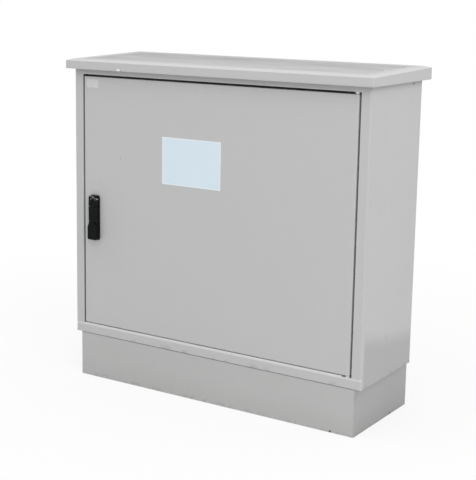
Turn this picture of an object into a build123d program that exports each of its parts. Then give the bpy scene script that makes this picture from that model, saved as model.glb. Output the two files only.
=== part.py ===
from build123d import *
import math
import os

os.makedirs("parts", exist_ok=True)

# Street cabinet for a gas meter, all lengths in millimetres.
# X runs to the right seen from the front, the door faces -Y, Z is up, zero is the middle of the ground face.

# Fits and cutting
cut_overrun = 2.0
turning_clearance = 0.05
sliding_clearance = 0.25
lying_clearance = 0.4
thrust_clearance = 0.1
assembly_clearance = 0.5

# Housing shell, folded from sheet
body_width = 1000.0
body_depth = 320.0
body_height = 844.0
sheet_thickness = 2.0
fold_radius = 5.0
edge_fold_radius = 2.5
stile_width = 30.5
sill_height = 28.5
head_height = 32.5
reveal_depth = 26.0
lip_width = 23.5
upper_flange = 26.0
lower_flange = 46.0
rear_flange = 26.0
rear_panel_lap = 14.0
side_hole_diameter = 7.0
side_hole_setback = 58.0
side_hole_drop = 24.0

# Plinth
plinth_height = 137.0
plinth_thickness = 3.0
plinth_fold_radius = 6.0
plinth_side_inset = 18.0
plinth_front_inset = 1.0
plinth_rear_projection = 23.0
plinth_bolt_ledge = 21.0
plinth_upper_flange = 36.0
plinth_lower_flange = 46.0
anchor_diameter = 14.0
anchor_setback = 24.0
anchor_side_distance = 72.0
strip_thickness = 2.0
strip_inset = 6.0
strip_setback = 9.0
strip_width = 18.0

# Roof
roof_thickness = 2.0
roof_side_overhang = 17.0
roof_front_overhang = 25.0
roof_lap = 16.0
roof_corner_radius = 5.0
skirt_height = 24.0
skirt_hem = 8.0
roof_fall = 9.0
shoulder_rise = 5.0
shoulder_width = 18.0
rim_width = 22.0
tray_depth = 5.0
tray_slope_width = 8.0
roof_bolt_side_distance = 100.0
roof_bolt_front_distance = 65.0
roof_bolt_diameter = 8.0
roof_bolt_head_width = 13.0
roof_bolt_head_height = 5.5
roof_bolt_tip_gap = 2.0
roof_spacer_diameter = 18.0

# Vents in the top plate and the floor plate
vent_length = 90.0
vent_width = 8.0
vent_pitch = 125.0
vent_row_distance = 120.0
top_vent_count = 6
floor_vent_count = 4

# Base bolts through floor, housing, strip and plinth
base_bolt_diameter = 10.0
base_bolt_head_width = 17.0
base_bolt_head_height = 6.5
base_bolt_side_distance = 182.0
base_bolt_tip = 4.0

# Door leaf
door_gap = 6.0
door_depth = 20.0
door_corner_radius = 3.0
door_flange = 17.0
gasket_width = 10.0
gasket_inset = 5.0
gasket_thickness = 5.2
stiffener_thickness = 1.5
stiffener_crown = 34.0
stiffener_foot = 14.0
stiffener_depth = 17.0
stiffener_bend_radius = 3.0
stiffener_end_gap = 12.0
stiffener_pitch = 380.0
stiffener_offset = 60.0

# Pin hinges at the right corners of the door
hinge_edge_distance = 7.8
hinge_setback = 10.0
hinge_pin_diameter = 8.0
hinge_collar_diameter = 14.0
hinge_bush_diameter = 12.0
hinge_bush_flange_diameter = 18.0
hinge_bush_flange = 2.0
hinge_bush_tail = 8.0
hinge_block_width = 16.0
hinge_block_height = 21.0
hinge_pin_tail = 2.0

# Plates on the door
label_width = 212.0
label_height = 149.0
label_thickness = 0.6
label_corner_radius = 4.0
label_left_distance = 290.0
label_top_distance = 155.5
plate_width = 46.0
plate_height = 26.0
plate_thickness = 0.6
plate_corner_radius = 2.0
plate_left_distance = 10.0
plate_top_distance = 7.5

# Swing handle
handle_edge_distance = 41.5
handle_height = 303.0
handle_length = 140.0
handle_width = 35.0
handle_base_thickness = 5.0
handle_end_radius = 6.0
handle_edge_radius = 1.5
rotor_width = 33.0
rotor_corner_radius = 7.0
rotor_floor = 2.4
rotor_neck_diameter = 14.0
spindle_square = 8.0
spindle_journal_diameter = 7.8
lever_thickness = 9.6
lever_width = 33.0
lever_neck_width = 15.0
lever_neck_thickness = 7.0
lever_end_gap = 2.0
lever_shoulder_gap = 1.2
lever_corner_radius = 5.0
lever_edge_radius = 2.0
lift_pin_diameter = 3.6
lift_pin_length = 28.0
cover_length = 55.0
cover_width = 36.0
cover_thickness = 4.3
cover_recess = 1.0
cover_corner_radius = 6.0
cover_edge_radius = 1.6
cover_pin_diameter = 4.0
cover_pin_length = 5.0
cylinder_diameter = 17.0
cylinder_height = 24.0
plug_diameter = 10.0
keyway_width = 1.4
keyway_height = 7.0
keyway_depth = 5.0
handle_screw_diameter = 6.0
handle_screw_head_diameter = 11.0
handle_screw_head_height = 4.0
handle_screw_reach = 3.5
handle_screw_upper_drop = 31.0
handle_screw_lower_height = 17.0

# Rack and pinion rod lock behind the handle
lock_thickness = 2.0
lock_half_width = 21.0
lock_half_height = 40.0
gear_module = 1.25
gear_teeth = 14
gear_backlash = 0.15
gear_addendum_share = 0.8
gear_dedendum_share = 1.1
gear_pressure_angle = 20.0
gear_boss_diameter = 14.0
rod_width = 8.0
rod_thickness = 6.0
rod_lip_clearance = 2.0
rod_cover_gap = 2.6
rod_tip_gap = 12.0
rod_tip_chamfer = 3.0
rod_overrun = 9.0
guide_width = 16.0
guide_height = 16.0
guide_wall = 6.0
guide_corner_radius = 4.0
guide_distance = 80.0

# Gas pipework
pipe_diameter = 48.3
pipe_wall = 3.25
pipe_side_distance = 170.0
pipe_setback = 180.0
pipe_end_height = 20.0
bend_radius_share = 0.6
bend_lead = 7.5
socket_depth = 15.0
grommet_wall = 6.0
grommet_lip = 5.0
grommet_lip_height = 4.0

# Ball valves
valve_height = 252.0
valve_length = 110.0
valve_hex_width = 60.0
valve_hex_length = 22.0
valve_barrel_diameter = 76.0
valve_barrel_fillet = 8.0
valve_boss_diameter = 30.0
valve_boss_reach = 48.0
valve_stem_diameter = 14.0
valve_stem_depth = 20.0
valve_lever_length = 140.0
valve_lever_head_width = 30.0
valve_lever_width = 22.0
valve_lever_thickness = 4.0
valve_nut_width = 20.0
valve_nut_height = 6.0

# Pressure regulator
regulator_gap = 15.0
regulator_length = 150.0
regulator_hex_width = 60.0
regulator_hex_length = 24.0
regulator_barrel_diameter = 74.0
regulator_wall = 5.0
regulator_neck_diameter = 48.0
regulator_neck_reach = 54.0
diaphragm_diameter = 150.0
diaphragm_flange = 4.0
diaphragm_dish_depth = 14.0
diaphragm_dish_share = 0.74
bonnet_diameter = 46.0
bonnet_length = 46.0
bonnet_cap_diameter = 52.0
bonnet_cap_length = 14.0

# Gas meter
meter_width = 340.0
meter_depth = 216.0
meter_lower_height = 140.0
meter_upper_height = 160.0
meter_height = 182.0
meter_corner_radius = 46.0
meter_edge_radius = 24.0
meter_thickness = 2.0
meter_port_spacing = 250.0
meter_port_height = 28.0
meter_band_width = 9.0
meter_band_height = 14.0
union_width = 64.0
union_height = 40.0
union_lead = 8.0
index_width = 120.0
index_height = 52.0
index_depth = 26.0
index_rise = 46.0
index_wall = 5.0
index_corner_radius = 5.0
index_face_thickness = 3.0
index_window_thickness = 2.0
index_window_setback = 1.0

# Mounting rails, shelf and pipe clamps
rail_overhang = 40.0
rail_height = 40.0
rail_depth = 25.0
rail_thickness = 2.5
rail_bend_radius = 3.0
rail_lower_drop = 55.0
rail_upper_rise = 60.0
shelf_width = 240.0
shelf_thickness = 4.0
shelf_bend_radius = 5.0
shelf_reach = 200.0
clamp_wall = 6.5
clamp_width = 22.0
clamp_ear = 14.0
clamp_ear_thickness = 12.0
clamp_boss_diameter = 18.0
clamp_boss_length = 8.0
clamp_rod_diameter = 10.0

# Places worked out from the sizes above
half_width = body_width / 2
front = -body_depth / 2
rear = body_depth / 2
body_bottom = plinth_height + strip_thickness
body_top = body_bottom + body_height
opening_x = half_width - stile_width
opening_bottom = body_bottom + sill_height
opening_top = body_top - head_height
lip_front = front + reveal_depth
lip_back = lip_front + sheet_thickness
lip_x = opening_x - lip_width
lip_bottom = opening_bottom + lip_width
lip_top = opening_top - lip_width
floor_bottom = body_bottom + sheet_thickness
floor_top = floor_bottom + sheet_thickness
top_plate_top = body_top - sheet_thickness
top_plate_bottom = top_plate_top - sheet_thickness
rear_panel_front = rear - 2 * sheet_thickness
door_x = opening_x - door_gap
door_bottom = opening_bottom + door_gap
door_top = opening_top - door_gap
door_back = front + door_depth
skin_back = front + sheet_thickness
hinge_x = door_x - hinge_edge_distance
hinge_y = front + hinge_setback
skirt_bottom = body_top - roof_lap
skirt_top = skirt_bottom + skirt_height + roof_fall / 2
roof_top = skirt_top + shoulder_rise
roof_width = body_width + 2 * roof_side_overhang
roof_depth = body_depth + 2 * roof_front_overhang
roof_slope = roof_fall / roof_depth
tray_floor = roof_top - tray_depth
tray_under = tray_floor - roof_thickness
pipe_x = half_width - pipe_side_distance
pipe_y = front + pipe_setback
pipe_bore = pipe_diameter - 2 * pipe_wall
port_x = meter_port_spacing / 2
bend_radius = bend_radius_share * (pipe_x - port_x) / 2
valve_z = body_bottom + valve_height
valve_bottom = valve_z - valve_length / 2
valve_top = valve_z + valve_length / 2
regulator_bottom = valve_top + regulator_gap
regulator_top = regulator_bottom + regulator_length
rail_levels = {"rail_lower": valve_bottom - rail_lower_drop, "rail_upper": regulator_top + rail_upper_rise}
pipe_top = rail_levels["rail_upper"] + clamp_width / 2 + bend_lead + bend_radius


def block(x0, x1, y0, y1, z0, z1):
    """Rectangular solid between two corners."""
    return Pos((x0 + x1) / 2, (y0 + y1) / 2, (z0 + z1) / 2) * Box(x1 - x0, y1 - y0, z1 - z0)


def upright(sketch, z0, z1):
    """Solid that stands on a plan outline."""
    return extrude(Pos(0, 0, z0) * sketch, amount=z1 - z0)


def facing(sketch, y0, y1):
    """Solid from an outline in the front view, from y0 back to y1."""
    plane = Plane(origin=(0, y1, 0), x_dir=(1, 0, 0), z_dir=(0, -1, 0))
    return extrude(plane * sketch, amount=y1 - y0)


def sideways(sketch, x0, x1):
    """Solid from an outline in the side view, from x0 to x1."""
    plane = Plane(origin=(x0, 0, 0), x_dir=(0, 1, 0), z_dir=(1, 0, 0))
    return extrude(plane * sketch, amount=x1 - x0)


def upright_rod(x, y, z0, z1, diameter):
    return upright(Pos(x, y) * Circle(diameter / 2), z0, z1)


def facing_rod(x, z, y0, y1, diameter):
    return facing(Pos(x, z) * Circle(diameter / 2), y0, y1)


def sideways_rod(y, z, x0, x1, diameter):
    return sideways(Pos(y, z) * Circle(diameter / 2), x0, x1)


def hexagon(across_flats):
    return RegularPolygon(across_flats / 2, 6, major_radius=False)


def folded_strip(points, thickness, inner_radius):
    """Section of a sheet bent along an open line, with the thickness to the left of it."""
    line = [Vector(*point) for point in points]
    steps = [(b - a).normalized() for a, b in zip(line, line[1:])]
    normals = [Vector(-step.Y, step.X) for step in steps]
    left = [line[0] + normals[0] * thickness]
    corners = []
    for index in range(1, len(line) - 1):
        middle = (normals[index - 1] + normals[index]).normalized()
        inner = line[index] + middle * (thickness / middle.dot(normals[index]))
        turn = steps[index - 1].cross(steps[index]).Z
        left.append(inner)
        corners.append((line[index], inner_radius + (thickness if turn > 0 else 0)))
        corners.append((inner, inner_radius + (thickness if turn < 0 else 0)))
    left.append(line[-1] + normals[-1] * thickness)
    face = make_face(Polyline(*line, *reversed(left), close=True)).face()
    for corner, radius in corners:
        face = face.fillet_2d(radius, [face.vertices().sort_by_distance(corner)[0]])
    return face


def roof_level(z):
    """Plane that falls to the front, at a height taken at the roof's middle."""
    return Plane(origin=(0, 0, z), x_dir=(1, 0, 0), z_dir=(0, -roof_slope, 1))


def roof_outline(width, depth, z, radius):
    """Rounded rectangle on the falling plane that covers the given plan."""
    return roof_level(z) * RectangleRounded(width, depth * math.hypot(1, roof_slope), radius)


def frustum(width0, depth0, z0, width1, depth1, z1, radius):
    """Rounded block that narrows between two falling levels."""
    lower = roof_outline(width0, depth0, z0, radius)
    upper = roof_outline(width1, depth1, z1, radius)
    return loft([lower, upper], ruled=True)


def skirt_block(width, depth, z0, z1, radius):
    """Upright block on a level foot under a falling top."""
    foot = Pos(0, 0, z0) * RectangleRounded(width, depth, radius)
    return loft([foot, roof_outline(width, depth, z1, radius)], ruled=True)


def save(node, *solids):
    shape = solids[0] if len(solids) == 1 else Compound(children=list(solids))
    export_step(shape, os.path.join("parts", node + ".step"))


def corner_places(pitch_x, pitch_y):
    return [(sx * pitch_x / 2, sy * pitch_y / 2) for sx in (-1, 1) for sy in (-1, 1)]


def vent_slots(count, z0, z1):
    slot = SlotOverall(vent_length, vent_width)
    rows = GridLocations(vent_pitch, vent_row_distance, count, 2)
    return upright(Sketch() + rows * slot, z0 - cut_overrun, z1 + cut_overrun)


# Plinth: four walls with inward flanges above and below
plinth_width = body_width - 2 * plinth_side_inset
plinth_front = front + plinth_front_inset
plinth_rear = rear + plinth_rear_projection
plinth_depth = plinth_rear - plinth_front
plinth_place = Pos(0, (plinth_front + plinth_rear) / 2)
strip_depth = body_depth - 2 * strip_setback
plinth_inner_radius = plinth_fold_radius - plinth_thickness
base_bolt_row = strip_depth - strip_width
base_bolt_places = corner_places(plinth_width - 2 * base_bolt_side_distance, base_bolt_row)
plinth_outline = plinth_place * RectangleRounded(plinth_width, plinth_depth, plinth_fold_radius)
plinth = upright(plinth_outline, 0, plinth_height)
plinth -= upright(
    plinth_place
    * RectangleRounded(
        plinth_width - 2 * plinth_thickness,
        plinth_depth - 2 * plinth_thickness,
        plinth_inner_radius,
    ),
    plinth_thickness,
    plinth_height - plinth_thickness,
)
plinth -= upright(
    Rectangle(plinth_width - 2 * plinth_upper_flange, base_bolt_row - 2 * plinth_bolt_ledge),
    plinth_height - plinth_thickness - cut_overrun,
    plinth_height + cut_overrun,
)
plinth -= upright(
    plinth_place
    * Rectangle(plinth_width - 2 * plinth_lower_flange, plinth_depth - 2 * plinth_lower_flange),
    -cut_overrun,
    plinth_thickness + cut_overrun,
)
for x, y in corner_places(plinth_width - 2 * anchor_side_distance, plinth_depth - 2 * anchor_setback):
    y += (plinth_front + plinth_rear) / 2
    plinth -= upright_rod(x, y, -cut_overrun, plinth_thickness + cut_overrun, anchor_diameter)
base_bolt_hole = base_bolt_diameter + 2 * assembly_clearance
for x, y in base_bolt_places:
    plinth -= upright_rod(
        x, y, plinth_height - plinth_thickness - cut_overrun, plinth_height + cut_overrun, base_bolt_hole
    )
save("plinth_frame", plinth)

# Sealing strip between plinth and housing
strip_outline = Rectangle(plinth_width - 2 * strip_inset, strip_depth)
strip_outline -= Rectangle(
    plinth_width - 2 * (strip_inset + strip_width), strip_depth - 2 * strip_width
)
strip = upright(strip_outline, plinth_height, body_bottom)
for x, y in base_bolt_places:
    strip -= upright_rod(x, y, plinth_height - cut_overrun, body_bottom + cut_overrun, base_bolt_hole)
save("plinth_seal", strip)

# Housing: sides, front frame and flanges in one folded and welded shell
shell = upright(RectangleRounded(body_width, body_depth, fold_radius), body_bottom, body_top)
shell -= upright(
    RectangleRounded(
        body_width - 2 * sheet_thickness,
        body_depth - 2 * sheet_thickness,
        fold_radius - sheet_thickness,
    ),
    floor_bottom,
    top_plate_top,
)
shell -= upright(
    Rectangle(body_width - 2 * upper_flange, body_depth - 2 * upper_flange),
    top_plate_top - cut_overrun,
    body_top + cut_overrun,
)
shell -= upright(
    Rectangle(body_width - 2 * lower_flange, body_depth - 2 * lower_flange),
    body_bottom - cut_overrun,
    floor_bottom + cut_overrun,
)
shell -= block(
    rear_flange - half_width,
    half_width - rear_flange,
    rear - sheet_thickness - cut_overrun,
    rear + cut_overrun,
    body_bottom + rear_flange,
    body_top - rear_flange,
)
shell -= block(
    -opening_x, opening_x, front - cut_overrun, skin_back + cut_overrun, opening_bottom, opening_top
)
reveal = block(
    -opening_x - sheet_thickness,
    opening_x + sheet_thickness,
    front,
    lip_back,
    opening_bottom - sheet_thickness,
    opening_top + sheet_thickness,
)
reveal -= block(-opening_x, opening_x, front - cut_overrun, lip_front, opening_bottom, opening_top)
reveal -= block(-lip_x, lip_x, lip_front - cut_overrun, lip_back + cut_overrun, lip_bottom, lip_top)
shell += reveal
opening_edges = [
    edge
    for edge in shell.edges()
    if abs(edge.center().Y - front) < sheet_thickness / 2
    and abs(edge.center().X) < opening_x + sheet_thickness / 2
    and opening_bottom - sheet_thickness / 2 < edge.center().Z < opening_top + sheet_thickness / 2
]
shell = fillet(opening_edges, edge_fold_radius)
for level in (opening_bottom - sheet_thickness, opening_top):
    shell -= upright_rod(
        hinge_x, hinge_y, level - cut_overrun, level + sheet_thickness + cut_overrun, hinge_bush_diameter
    )
for x, y in base_bolt_places:
    shell -= upright_rod(x, y, body_bottom - cut_overrun, floor_bottom + cut_overrun, base_bolt_hole)
shell -= sideways_rod(
    rear - side_hole_setback,
    body_top - side_hole_drop,
    -half_width - cut_overrun,
    half_width + cut_overrun,
    side_hole_diameter,
)
save("housing_shell", shell)

# Back panel behind the rear flanges
rear_panel_x = half_width - rear_flange + rear_panel_lap
save(
    "back_panel",
    block(
        -rear_panel_x,
        rear_panel_x,
        rear_panel_front,
        rear - sheet_thickness,
        body_bottom + rear_flange - rear_panel_lap,
        body_top - rear_flange + rear_panel_lap,
    ),
)

# Floor plate with two pipe holes and vent slots
inner_x = half_width - sheet_thickness - assembly_clearance
inner_y = rear - sheet_thickness - assembly_clearance
grommet_bore = pipe_diameter + 2 * turning_clearance
grommet_hole = grommet_bore + 2 * grommet_wall
inner_plate = RectangleRounded(2 * inner_x, 2 * inner_y, fold_radius - sheet_thickness)
floor_plate = upright(inner_plate, floor_bottom, floor_top)
floor_plate -= vent_slots(floor_vent_count, floor_bottom, floor_top)
for x in (-pipe_x, pipe_x):
    floor_plate -= upright_rod(x, pipe_y, floor_bottom - cut_overrun, floor_top + cut_overrun, grommet_hole)
for x, y in base_bolt_places:
    floor_plate -= upright_rod(x, y, floor_bottom - cut_overrun, floor_top + cut_overrun, base_bolt_hole)
save("floor_plate", floor_plate)

# Base bolts with nut under the plinth flange
base_bolts = []
nut_top = plinth_height - plinth_thickness
for x, y in base_bolt_places:
    bolt = upright_rod(x, y, nut_top - base_bolt_head_height - base_bolt_tip, floor_top, base_bolt_diameter)
    bolt += upright(Pos(x, y) * hexagon(base_bolt_head_width), floor_top, floor_top + base_bolt_head_height)
    bolt += upright(Pos(x, y) * hexagon(base_bolt_head_width), nut_top - base_bolt_head_height, nut_top)
    base_bolts.append(bolt)
save("base_bolts", *base_bolts)

# Grommets round the pipes in the floor plate
grommets = []
for x in (-pipe_x, pipe_x):
    low = floor_bottom - grommet_lip_height
    high = floor_top + grommet_lip_height
    ring = upright_rod(x, pipe_y, low, floor_bottom, grommet_hole + 2 * grommet_lip)
    ring += upright_rod(x, pipe_y, floor_top, high, grommet_hole + 2 * grommet_lip)
    ring += upright_rod(x, pipe_y, floor_bottom, floor_top, grommet_hole)
    ring -= upright_rod(x, pipe_y, low - cut_overrun, high + cut_overrun, grommet_bore)
    grommets.append(ring)
save("pipe_grommets", *grommets)

# Top plate under the upper flange, with vents that lead out under the roof skirt
roof_bolt_places = corner_places(
    body_width - 2 * roof_bolt_side_distance, body_depth - 2 * roof_bolt_front_distance
)
roof_bolt_hole = roof_bolt_diameter + 2 * assembly_clearance
top_plate = upright(inner_plate, top_plate_bottom, top_plate_top)
top_plate -= vent_slots(top_vent_count, top_plate_bottom, top_plate_top)
for x, y in roof_bolt_places:
    top_plate -= upright_rod(
        x, y, top_plate_bottom - cut_overrun, top_plate_top + cut_overrun, roof_bolt_hole
    )
save("top_plate", top_plate)

# Roof spacers and the bolts that hold the roof from inside
roof_spacers = []
roof_bolts = []
for x, y in roof_bolt_places:
    spacer = upright_rod(x, y, top_plate_top, tray_under + roof_fall, roof_spacer_diameter)
    spacer = split(spacer, bisect_by=roof_level(tray_under), keep=Keep.BOTTOM)
    spacer_bore_top = tray_under - roof_thickness + y * roof_slope
    spacer -= upright_rod(
        x, y, top_plate_top - cut_overrun, spacer_bore_top, roof_bolt_diameter + 2 * turning_clearance
    )
    roof_spacers.append(spacer)
    bolt_tip = spacer_bore_top - roof_bolt_tip_gap
    bolt = upright_rod(x, y, top_plate_bottom, bolt_tip, roof_bolt_diameter)
    bolt += upright(
        Pos(x, y) * hexagon(roof_bolt_head_width), top_plate_bottom - roof_bolt_head_height, top_plate_bottom
    )
    roof_bolts.append(bolt)
save("roof_spacers", *roof_spacers)
save("roof_bolts", *roof_bolts)

# Roof: skirt with hem, sloped shoulder, rim and sunken tray, one sheet thick all over
inner_roof_radius = roof_corner_radius - roof_thickness
shoulder_slope = shoulder_rise / shoulder_width
inner_skirt_width = roof_width - 2 * roof_thickness
inner_skirt_depth = roof_depth - 2 * roof_thickness
inner_skirt_top = skirt_top + roof_thickness * shoulder_slope - roof_thickness * math.hypot(1, shoulder_slope)
rim_outer_width = roof_width - 2 * shoulder_width
rim_outer_depth = roof_depth - 2 * shoulder_width
tray_outer_width = rim_outer_width - 2 * rim_width
tray_outer_depth = rim_outer_depth - 2 * rim_width
tray_inner_width = tray_outer_width - 2 * tray_slope_width
tray_inner_depth = tray_outer_depth - 2 * tray_slope_width
roof = skirt_block(roof_width, roof_depth, skirt_bottom, skirt_top, roof_corner_radius)
roof += frustum(
    roof_width, roof_depth, skirt_top, rim_outer_width, rim_outer_depth, roof_top, roof_corner_radius
)
roof -= frustum(
    tray_inner_width,
    tray_inner_depth,
    tray_floor,
    tray_outer_width,
    tray_outer_depth,
    roof_top,
    roof_corner_radius,
)
hollow = skirt_block(
    inner_skirt_width, inner_skirt_depth, skirt_bottom + roof_thickness, inner_skirt_top, inner_roof_radius
)
hollow += frustum(
    inner_skirt_width,
    inner_skirt_depth,
    inner_skirt_top,
    rim_outer_width,
    rim_outer_depth,
    roof_top - roof_thickness,
    inner_roof_radius,
)
hollow -= frustum(
    tray_inner_width,
    tray_inner_depth,
    tray_under,
    tray_outer_width,
    tray_outer_depth,
    roof_top - roof_thickness,
    roof_corner_radius,
)
roof -= hollow
roof -= upright(
    Rectangle(roof_width - 2 * skirt_hem, roof_depth - 2 * skirt_hem),
    skirt_bottom - cut_overrun,
    skirt_bottom + roof_thickness + cut_overrun,
)
save("roof", roof)

# Door leaf: pan with folded edges and a return flange
handle_x = handle_edge_distance - door_x
base_bottom = body_bottom + handle_height
base_top = base_bottom + handle_length
hub_z = base_top - handle_width / 2
base_front = front - handle_base_thickness
neck_bore = rotor_neck_diameter + 2 * turning_clearance
screw_levels = (base_bottom + handle_screw_lower_height, hub_z - handle_screw_upper_drop)
screw_hole = handle_screw_diameter + 2 * assembly_clearance
door_middle = (door_bottom + door_top) / 2
door_width = 2 * door_x
door_height = door_top - door_bottom
door_outline = Pos(0, door_middle) * RectangleRounded(door_width, door_height, door_corner_radius)
door = facing(door_outline, front, door_back)
door = fillet(door.faces().sort_by(Axis.Y)[0].edges(), edge_fold_radius)
door -= block(
    sheet_thickness - door_x,
    door_x - sheet_thickness,
    skin_back,
    door_back - sheet_thickness,
    door_bottom + sheet_thickness,
    door_top - sheet_thickness,
)
door -= block(
    door_flange - door_x,
    door_x - door_flange,
    skin_back,
    door_back + cut_overrun,
    door_bottom + door_flange,
    door_top - door_flange,
)
for level in (door_bottom, door_top - sheet_thickness):
    hole_top = level + sheet_thickness + cut_overrun
    door -= upright_rod(hinge_x, hinge_y, level - cut_overrun, hole_top, hinge_pin_diameter)
door -= facing_rod(handle_x, hub_z, front - cut_overrun, skin_back + cut_overrun, neck_bore)
for level in screw_levels:
    door -= facing_rod(handle_x, level, front - cut_overrun, skin_back + cut_overrun, screw_hole)
save("door_panel", door)

# Door gasket on the return flange, facing the sealing lip
gasket_outline = Rectangle(door_width - 2 * gasket_inset, door_height - 2 * gasket_inset)
gasket_reach = gasket_inset + gasket_width
gasket_outline -= Rectangle(door_width - 2 * gasket_reach, door_height - 2 * gasket_reach)
save("door_gasket", facing(Pos(0, door_middle) * gasket_outline, door_back, door_back + gasket_thickness))

# Hat section stiffeners inside the door
stiffener_bottom = door_bottom + door_flange + stiffener_end_gap
stiffener_top = door_top - door_flange - stiffener_end_gap
stiffener_back = skin_back + stiffener_depth
for node, side in (("door_stiffener_left", -1), ("door_stiffener_right", 1)):
    middle = stiffener_offset + side * stiffener_pitch / 2
    half_crown = stiffener_crown / 2
    hat = folded_strip(
        [
            (middle - half_crown - stiffener_foot, skin_back),
            (middle - half_crown, skin_back),
            (middle - half_crown, stiffener_back - stiffener_thickness),
            (middle + half_crown, stiffener_back - stiffener_thickness),
            (middle + half_crown, skin_back),
            (middle + half_crown + stiffener_foot, skin_back),
        ],
        stiffener_thickness,
        stiffener_bend_radius - stiffener_thickness,
    )
    save(node, upright(hat, stiffener_bottom, stiffener_top))

# Pin hinges: block and collared pin on the door, flanged bush in the frame
hinge_blocks = []
hinge_pins = []
hinge_bushes = []
bush_bore = hinge_pin_diameter + 2 * turning_clearance
block_x0 = door_x - sheet_thickness - hinge_block_width
for edge_level, frame_level, way in ((door_top, opening_top, 1), (door_bottom, opening_bottom, -1)):
    block_end = edge_level - way * (sheet_thickness + hinge_block_height)
    block_levels = sorted([edge_level - way * sheet_thickness, block_end])
    carrier = block(block_x0, door_x - sheet_thickness, skin_back, door_back - sheet_thickness, *block_levels)
    carrier -= upright_rod(
        hinge_x, hinge_y, block_levels[0] - cut_overrun, block_levels[1] + cut_overrun, hinge_pin_diameter
    )
    hinge_blocks.append(carrier)
    flange_level = frame_level - way * hinge_bush_flange
    bush_end = frame_level + way * (sheet_thickness + hinge_bush_tail)
    bush = upright_rod(hinge_x, hinge_y, *sorted([flange_level, frame_level]), hinge_bush_flange_diameter)
    bush += upright_rod(hinge_x, hinge_y, *sorted([frame_level, bush_end]), hinge_bush_diameter)
    bush_span = sorted([flange_level - way * cut_overrun, bush_end + way * cut_overrun])
    bush -= upright_rod(hinge_x, hinge_y, *bush_span, bush_bore)
    hinge_bushes.append(bush)
    pin_span = sorted([block_end, bush_end + way * hinge_pin_tail])
    pin = upright_rod(hinge_x, hinge_y, *pin_span, hinge_pin_diameter)
    collar_span = sorted([edge_level, flange_level - way * thrust_clearance])
    pin += upright_rod(hinge_x, hinge_y, *collar_span, hinge_collar_diameter)
    hinge_pins.append(pin)
save("hinge_blocks", *hinge_blocks)
save("hinge_pins", *hinge_pins)
save("hinge_bushes", *hinge_bushes)

# Bare plates on the door face
for node, width, height, thickness, radius, left, top in (
    ("label_plate", label_width, label_height, label_thickness, label_corner_radius,
     label_left_distance, label_top_distance),
    ("maker_plate", plate_width, plate_height, plate_thickness, plate_corner_radius,
     plate_left_distance, plate_top_distance),
):
    place = Pos(left - door_x + width / 2, door_top - top - height / 2)
    save(node, facing(place * RectangleRounded(width, height, radius), front - thickness, front))

# Handle base on the door
base_outline = Pos(handle_x, (base_bottom + base_top) / 2) * RectangleRounded(
    handle_width, handle_length, handle_end_radius
)
handle_base = facing(base_outline, base_front, front)
handle_base = fillet(handle_base.faces().sort_by(Axis.Y)[0].edges(), handle_edge_radius)
handle_base -= facing_rod(handle_x, hub_z, base_front - cut_overrun, front + cut_overrun, neck_bore)
for level in screw_levels:
    handle_base -= facing_rod(
        handle_x, level, front - handle_screw_reach, front + cut_overrun, handle_screw_diameter
    )
save("handle_base", handle_base)

# Screws from inside into the handle base
lock_front = skin_back
lock_floor = lock_front + lock_thickness
handle_screws = []
for level, seat in zip(screw_levels, (skin_back, lock_floor)):
    screw = facing_rod(handle_x, level, front - handle_screw_reach, seat, handle_screw_diameter)
    screw += facing_rod(handle_x, level, seat, seat + handle_screw_head_height, handle_screw_head_diameter)
    handle_screws.append(screw)
save("handle_screws", *handle_screws)

# Lock case and cover behind the handle
rod_front = lip_back + rod_lip_clearance
rod_back = rod_front + rod_thickness
cover_front = rod_back + rod_cover_gap
cover_back = cover_front + lock_thickness
case_outline = folded_strip(
    [
        (handle_x - lock_half_width, cover_front),
        (handle_x - lock_half_width, lock_front),
        (handle_x + lock_half_width, lock_front),
        (handle_x + lock_half_width, cover_front),
    ],
    lock_thickness,
    lock_thickness,
)
lock_case = upright(case_outline, hub_z - lock_half_height, hub_z + lock_half_height)
lock_case -= facing_rod(handle_x, hub_z, lock_front - cut_overrun, lock_floor + cut_overrun, neck_bore)
lock_case -= facing_rod(
    handle_x, screw_levels[1], lock_front - cut_overrun, lock_floor + cut_overrun, screw_hole
)
save("lock_case", lock_case)
lock_cover = block(
    handle_x - lock_half_width,
    handle_x + lock_half_width,
    cover_front,
    cover_back,
    hub_z - lock_half_height,
    hub_z + lock_half_height,
)
journal_bore = spindle_journal_diameter + 2 * turning_clearance
lock_cover -= facing_rod(handle_x, hub_z, cover_front - cut_overrun, cover_back + cut_overrun, journal_bore)
save("lock_cover", lock_cover)

# Rotor with its spindle through base, door and lock case
lever_back = base_front - lying_clearance
lever_front = lever_back - lever_thickness
rotor_back = base_front - lying_clearance
rotor_slot_floor = rotor_back - rotor_floor
rotor_half = rotor_width / 2
barrel_radius = lever_neck_thickness / 2
lift_y = lever_front + barrel_radius
rotor_outline = Pos(handle_x, hub_z) * RectangleRounded(rotor_width, rotor_width, rotor_corner_radius)
rotor = facing(rotor_outline, lever_front, rotor_back)
rotor = fillet(rotor.faces().sort_by(Axis.Y)[0].edges(), lever_edge_radius)
slot_half = lever_neck_width / 2 + sliding_clearance
rotor -= block(
    handle_x - slot_half,
    handle_x + slot_half,
    lever_front - cut_overrun,
    rotor_slot_floor,
    hub_z - rotor_half - cut_overrun,
    hub_z + barrel_radius + lying_clearance,
)
rotor += facing_rod(handle_x, hub_z, rotor_back, lock_floor, rotor_neck_diameter)
rotor += block(
    handle_x - spindle_square / 2,
    handle_x + spindle_square / 2,
    lock_floor,
    cover_front - lying_clearance,
    hub_z - spindle_square / 2,
    hub_z + spindle_square / 2,
)
rotor += facing_rod(handle_x, hub_z, cover_front - lying_clearance, cover_back, spindle_journal_diameter)
lift_pin_half = lift_pin_length / 2
lift_pin_bore = sideways_rod(
    lift_y, hub_z, handle_x - lift_pin_half, handle_x + lift_pin_half, lift_pin_diameter
)
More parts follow.
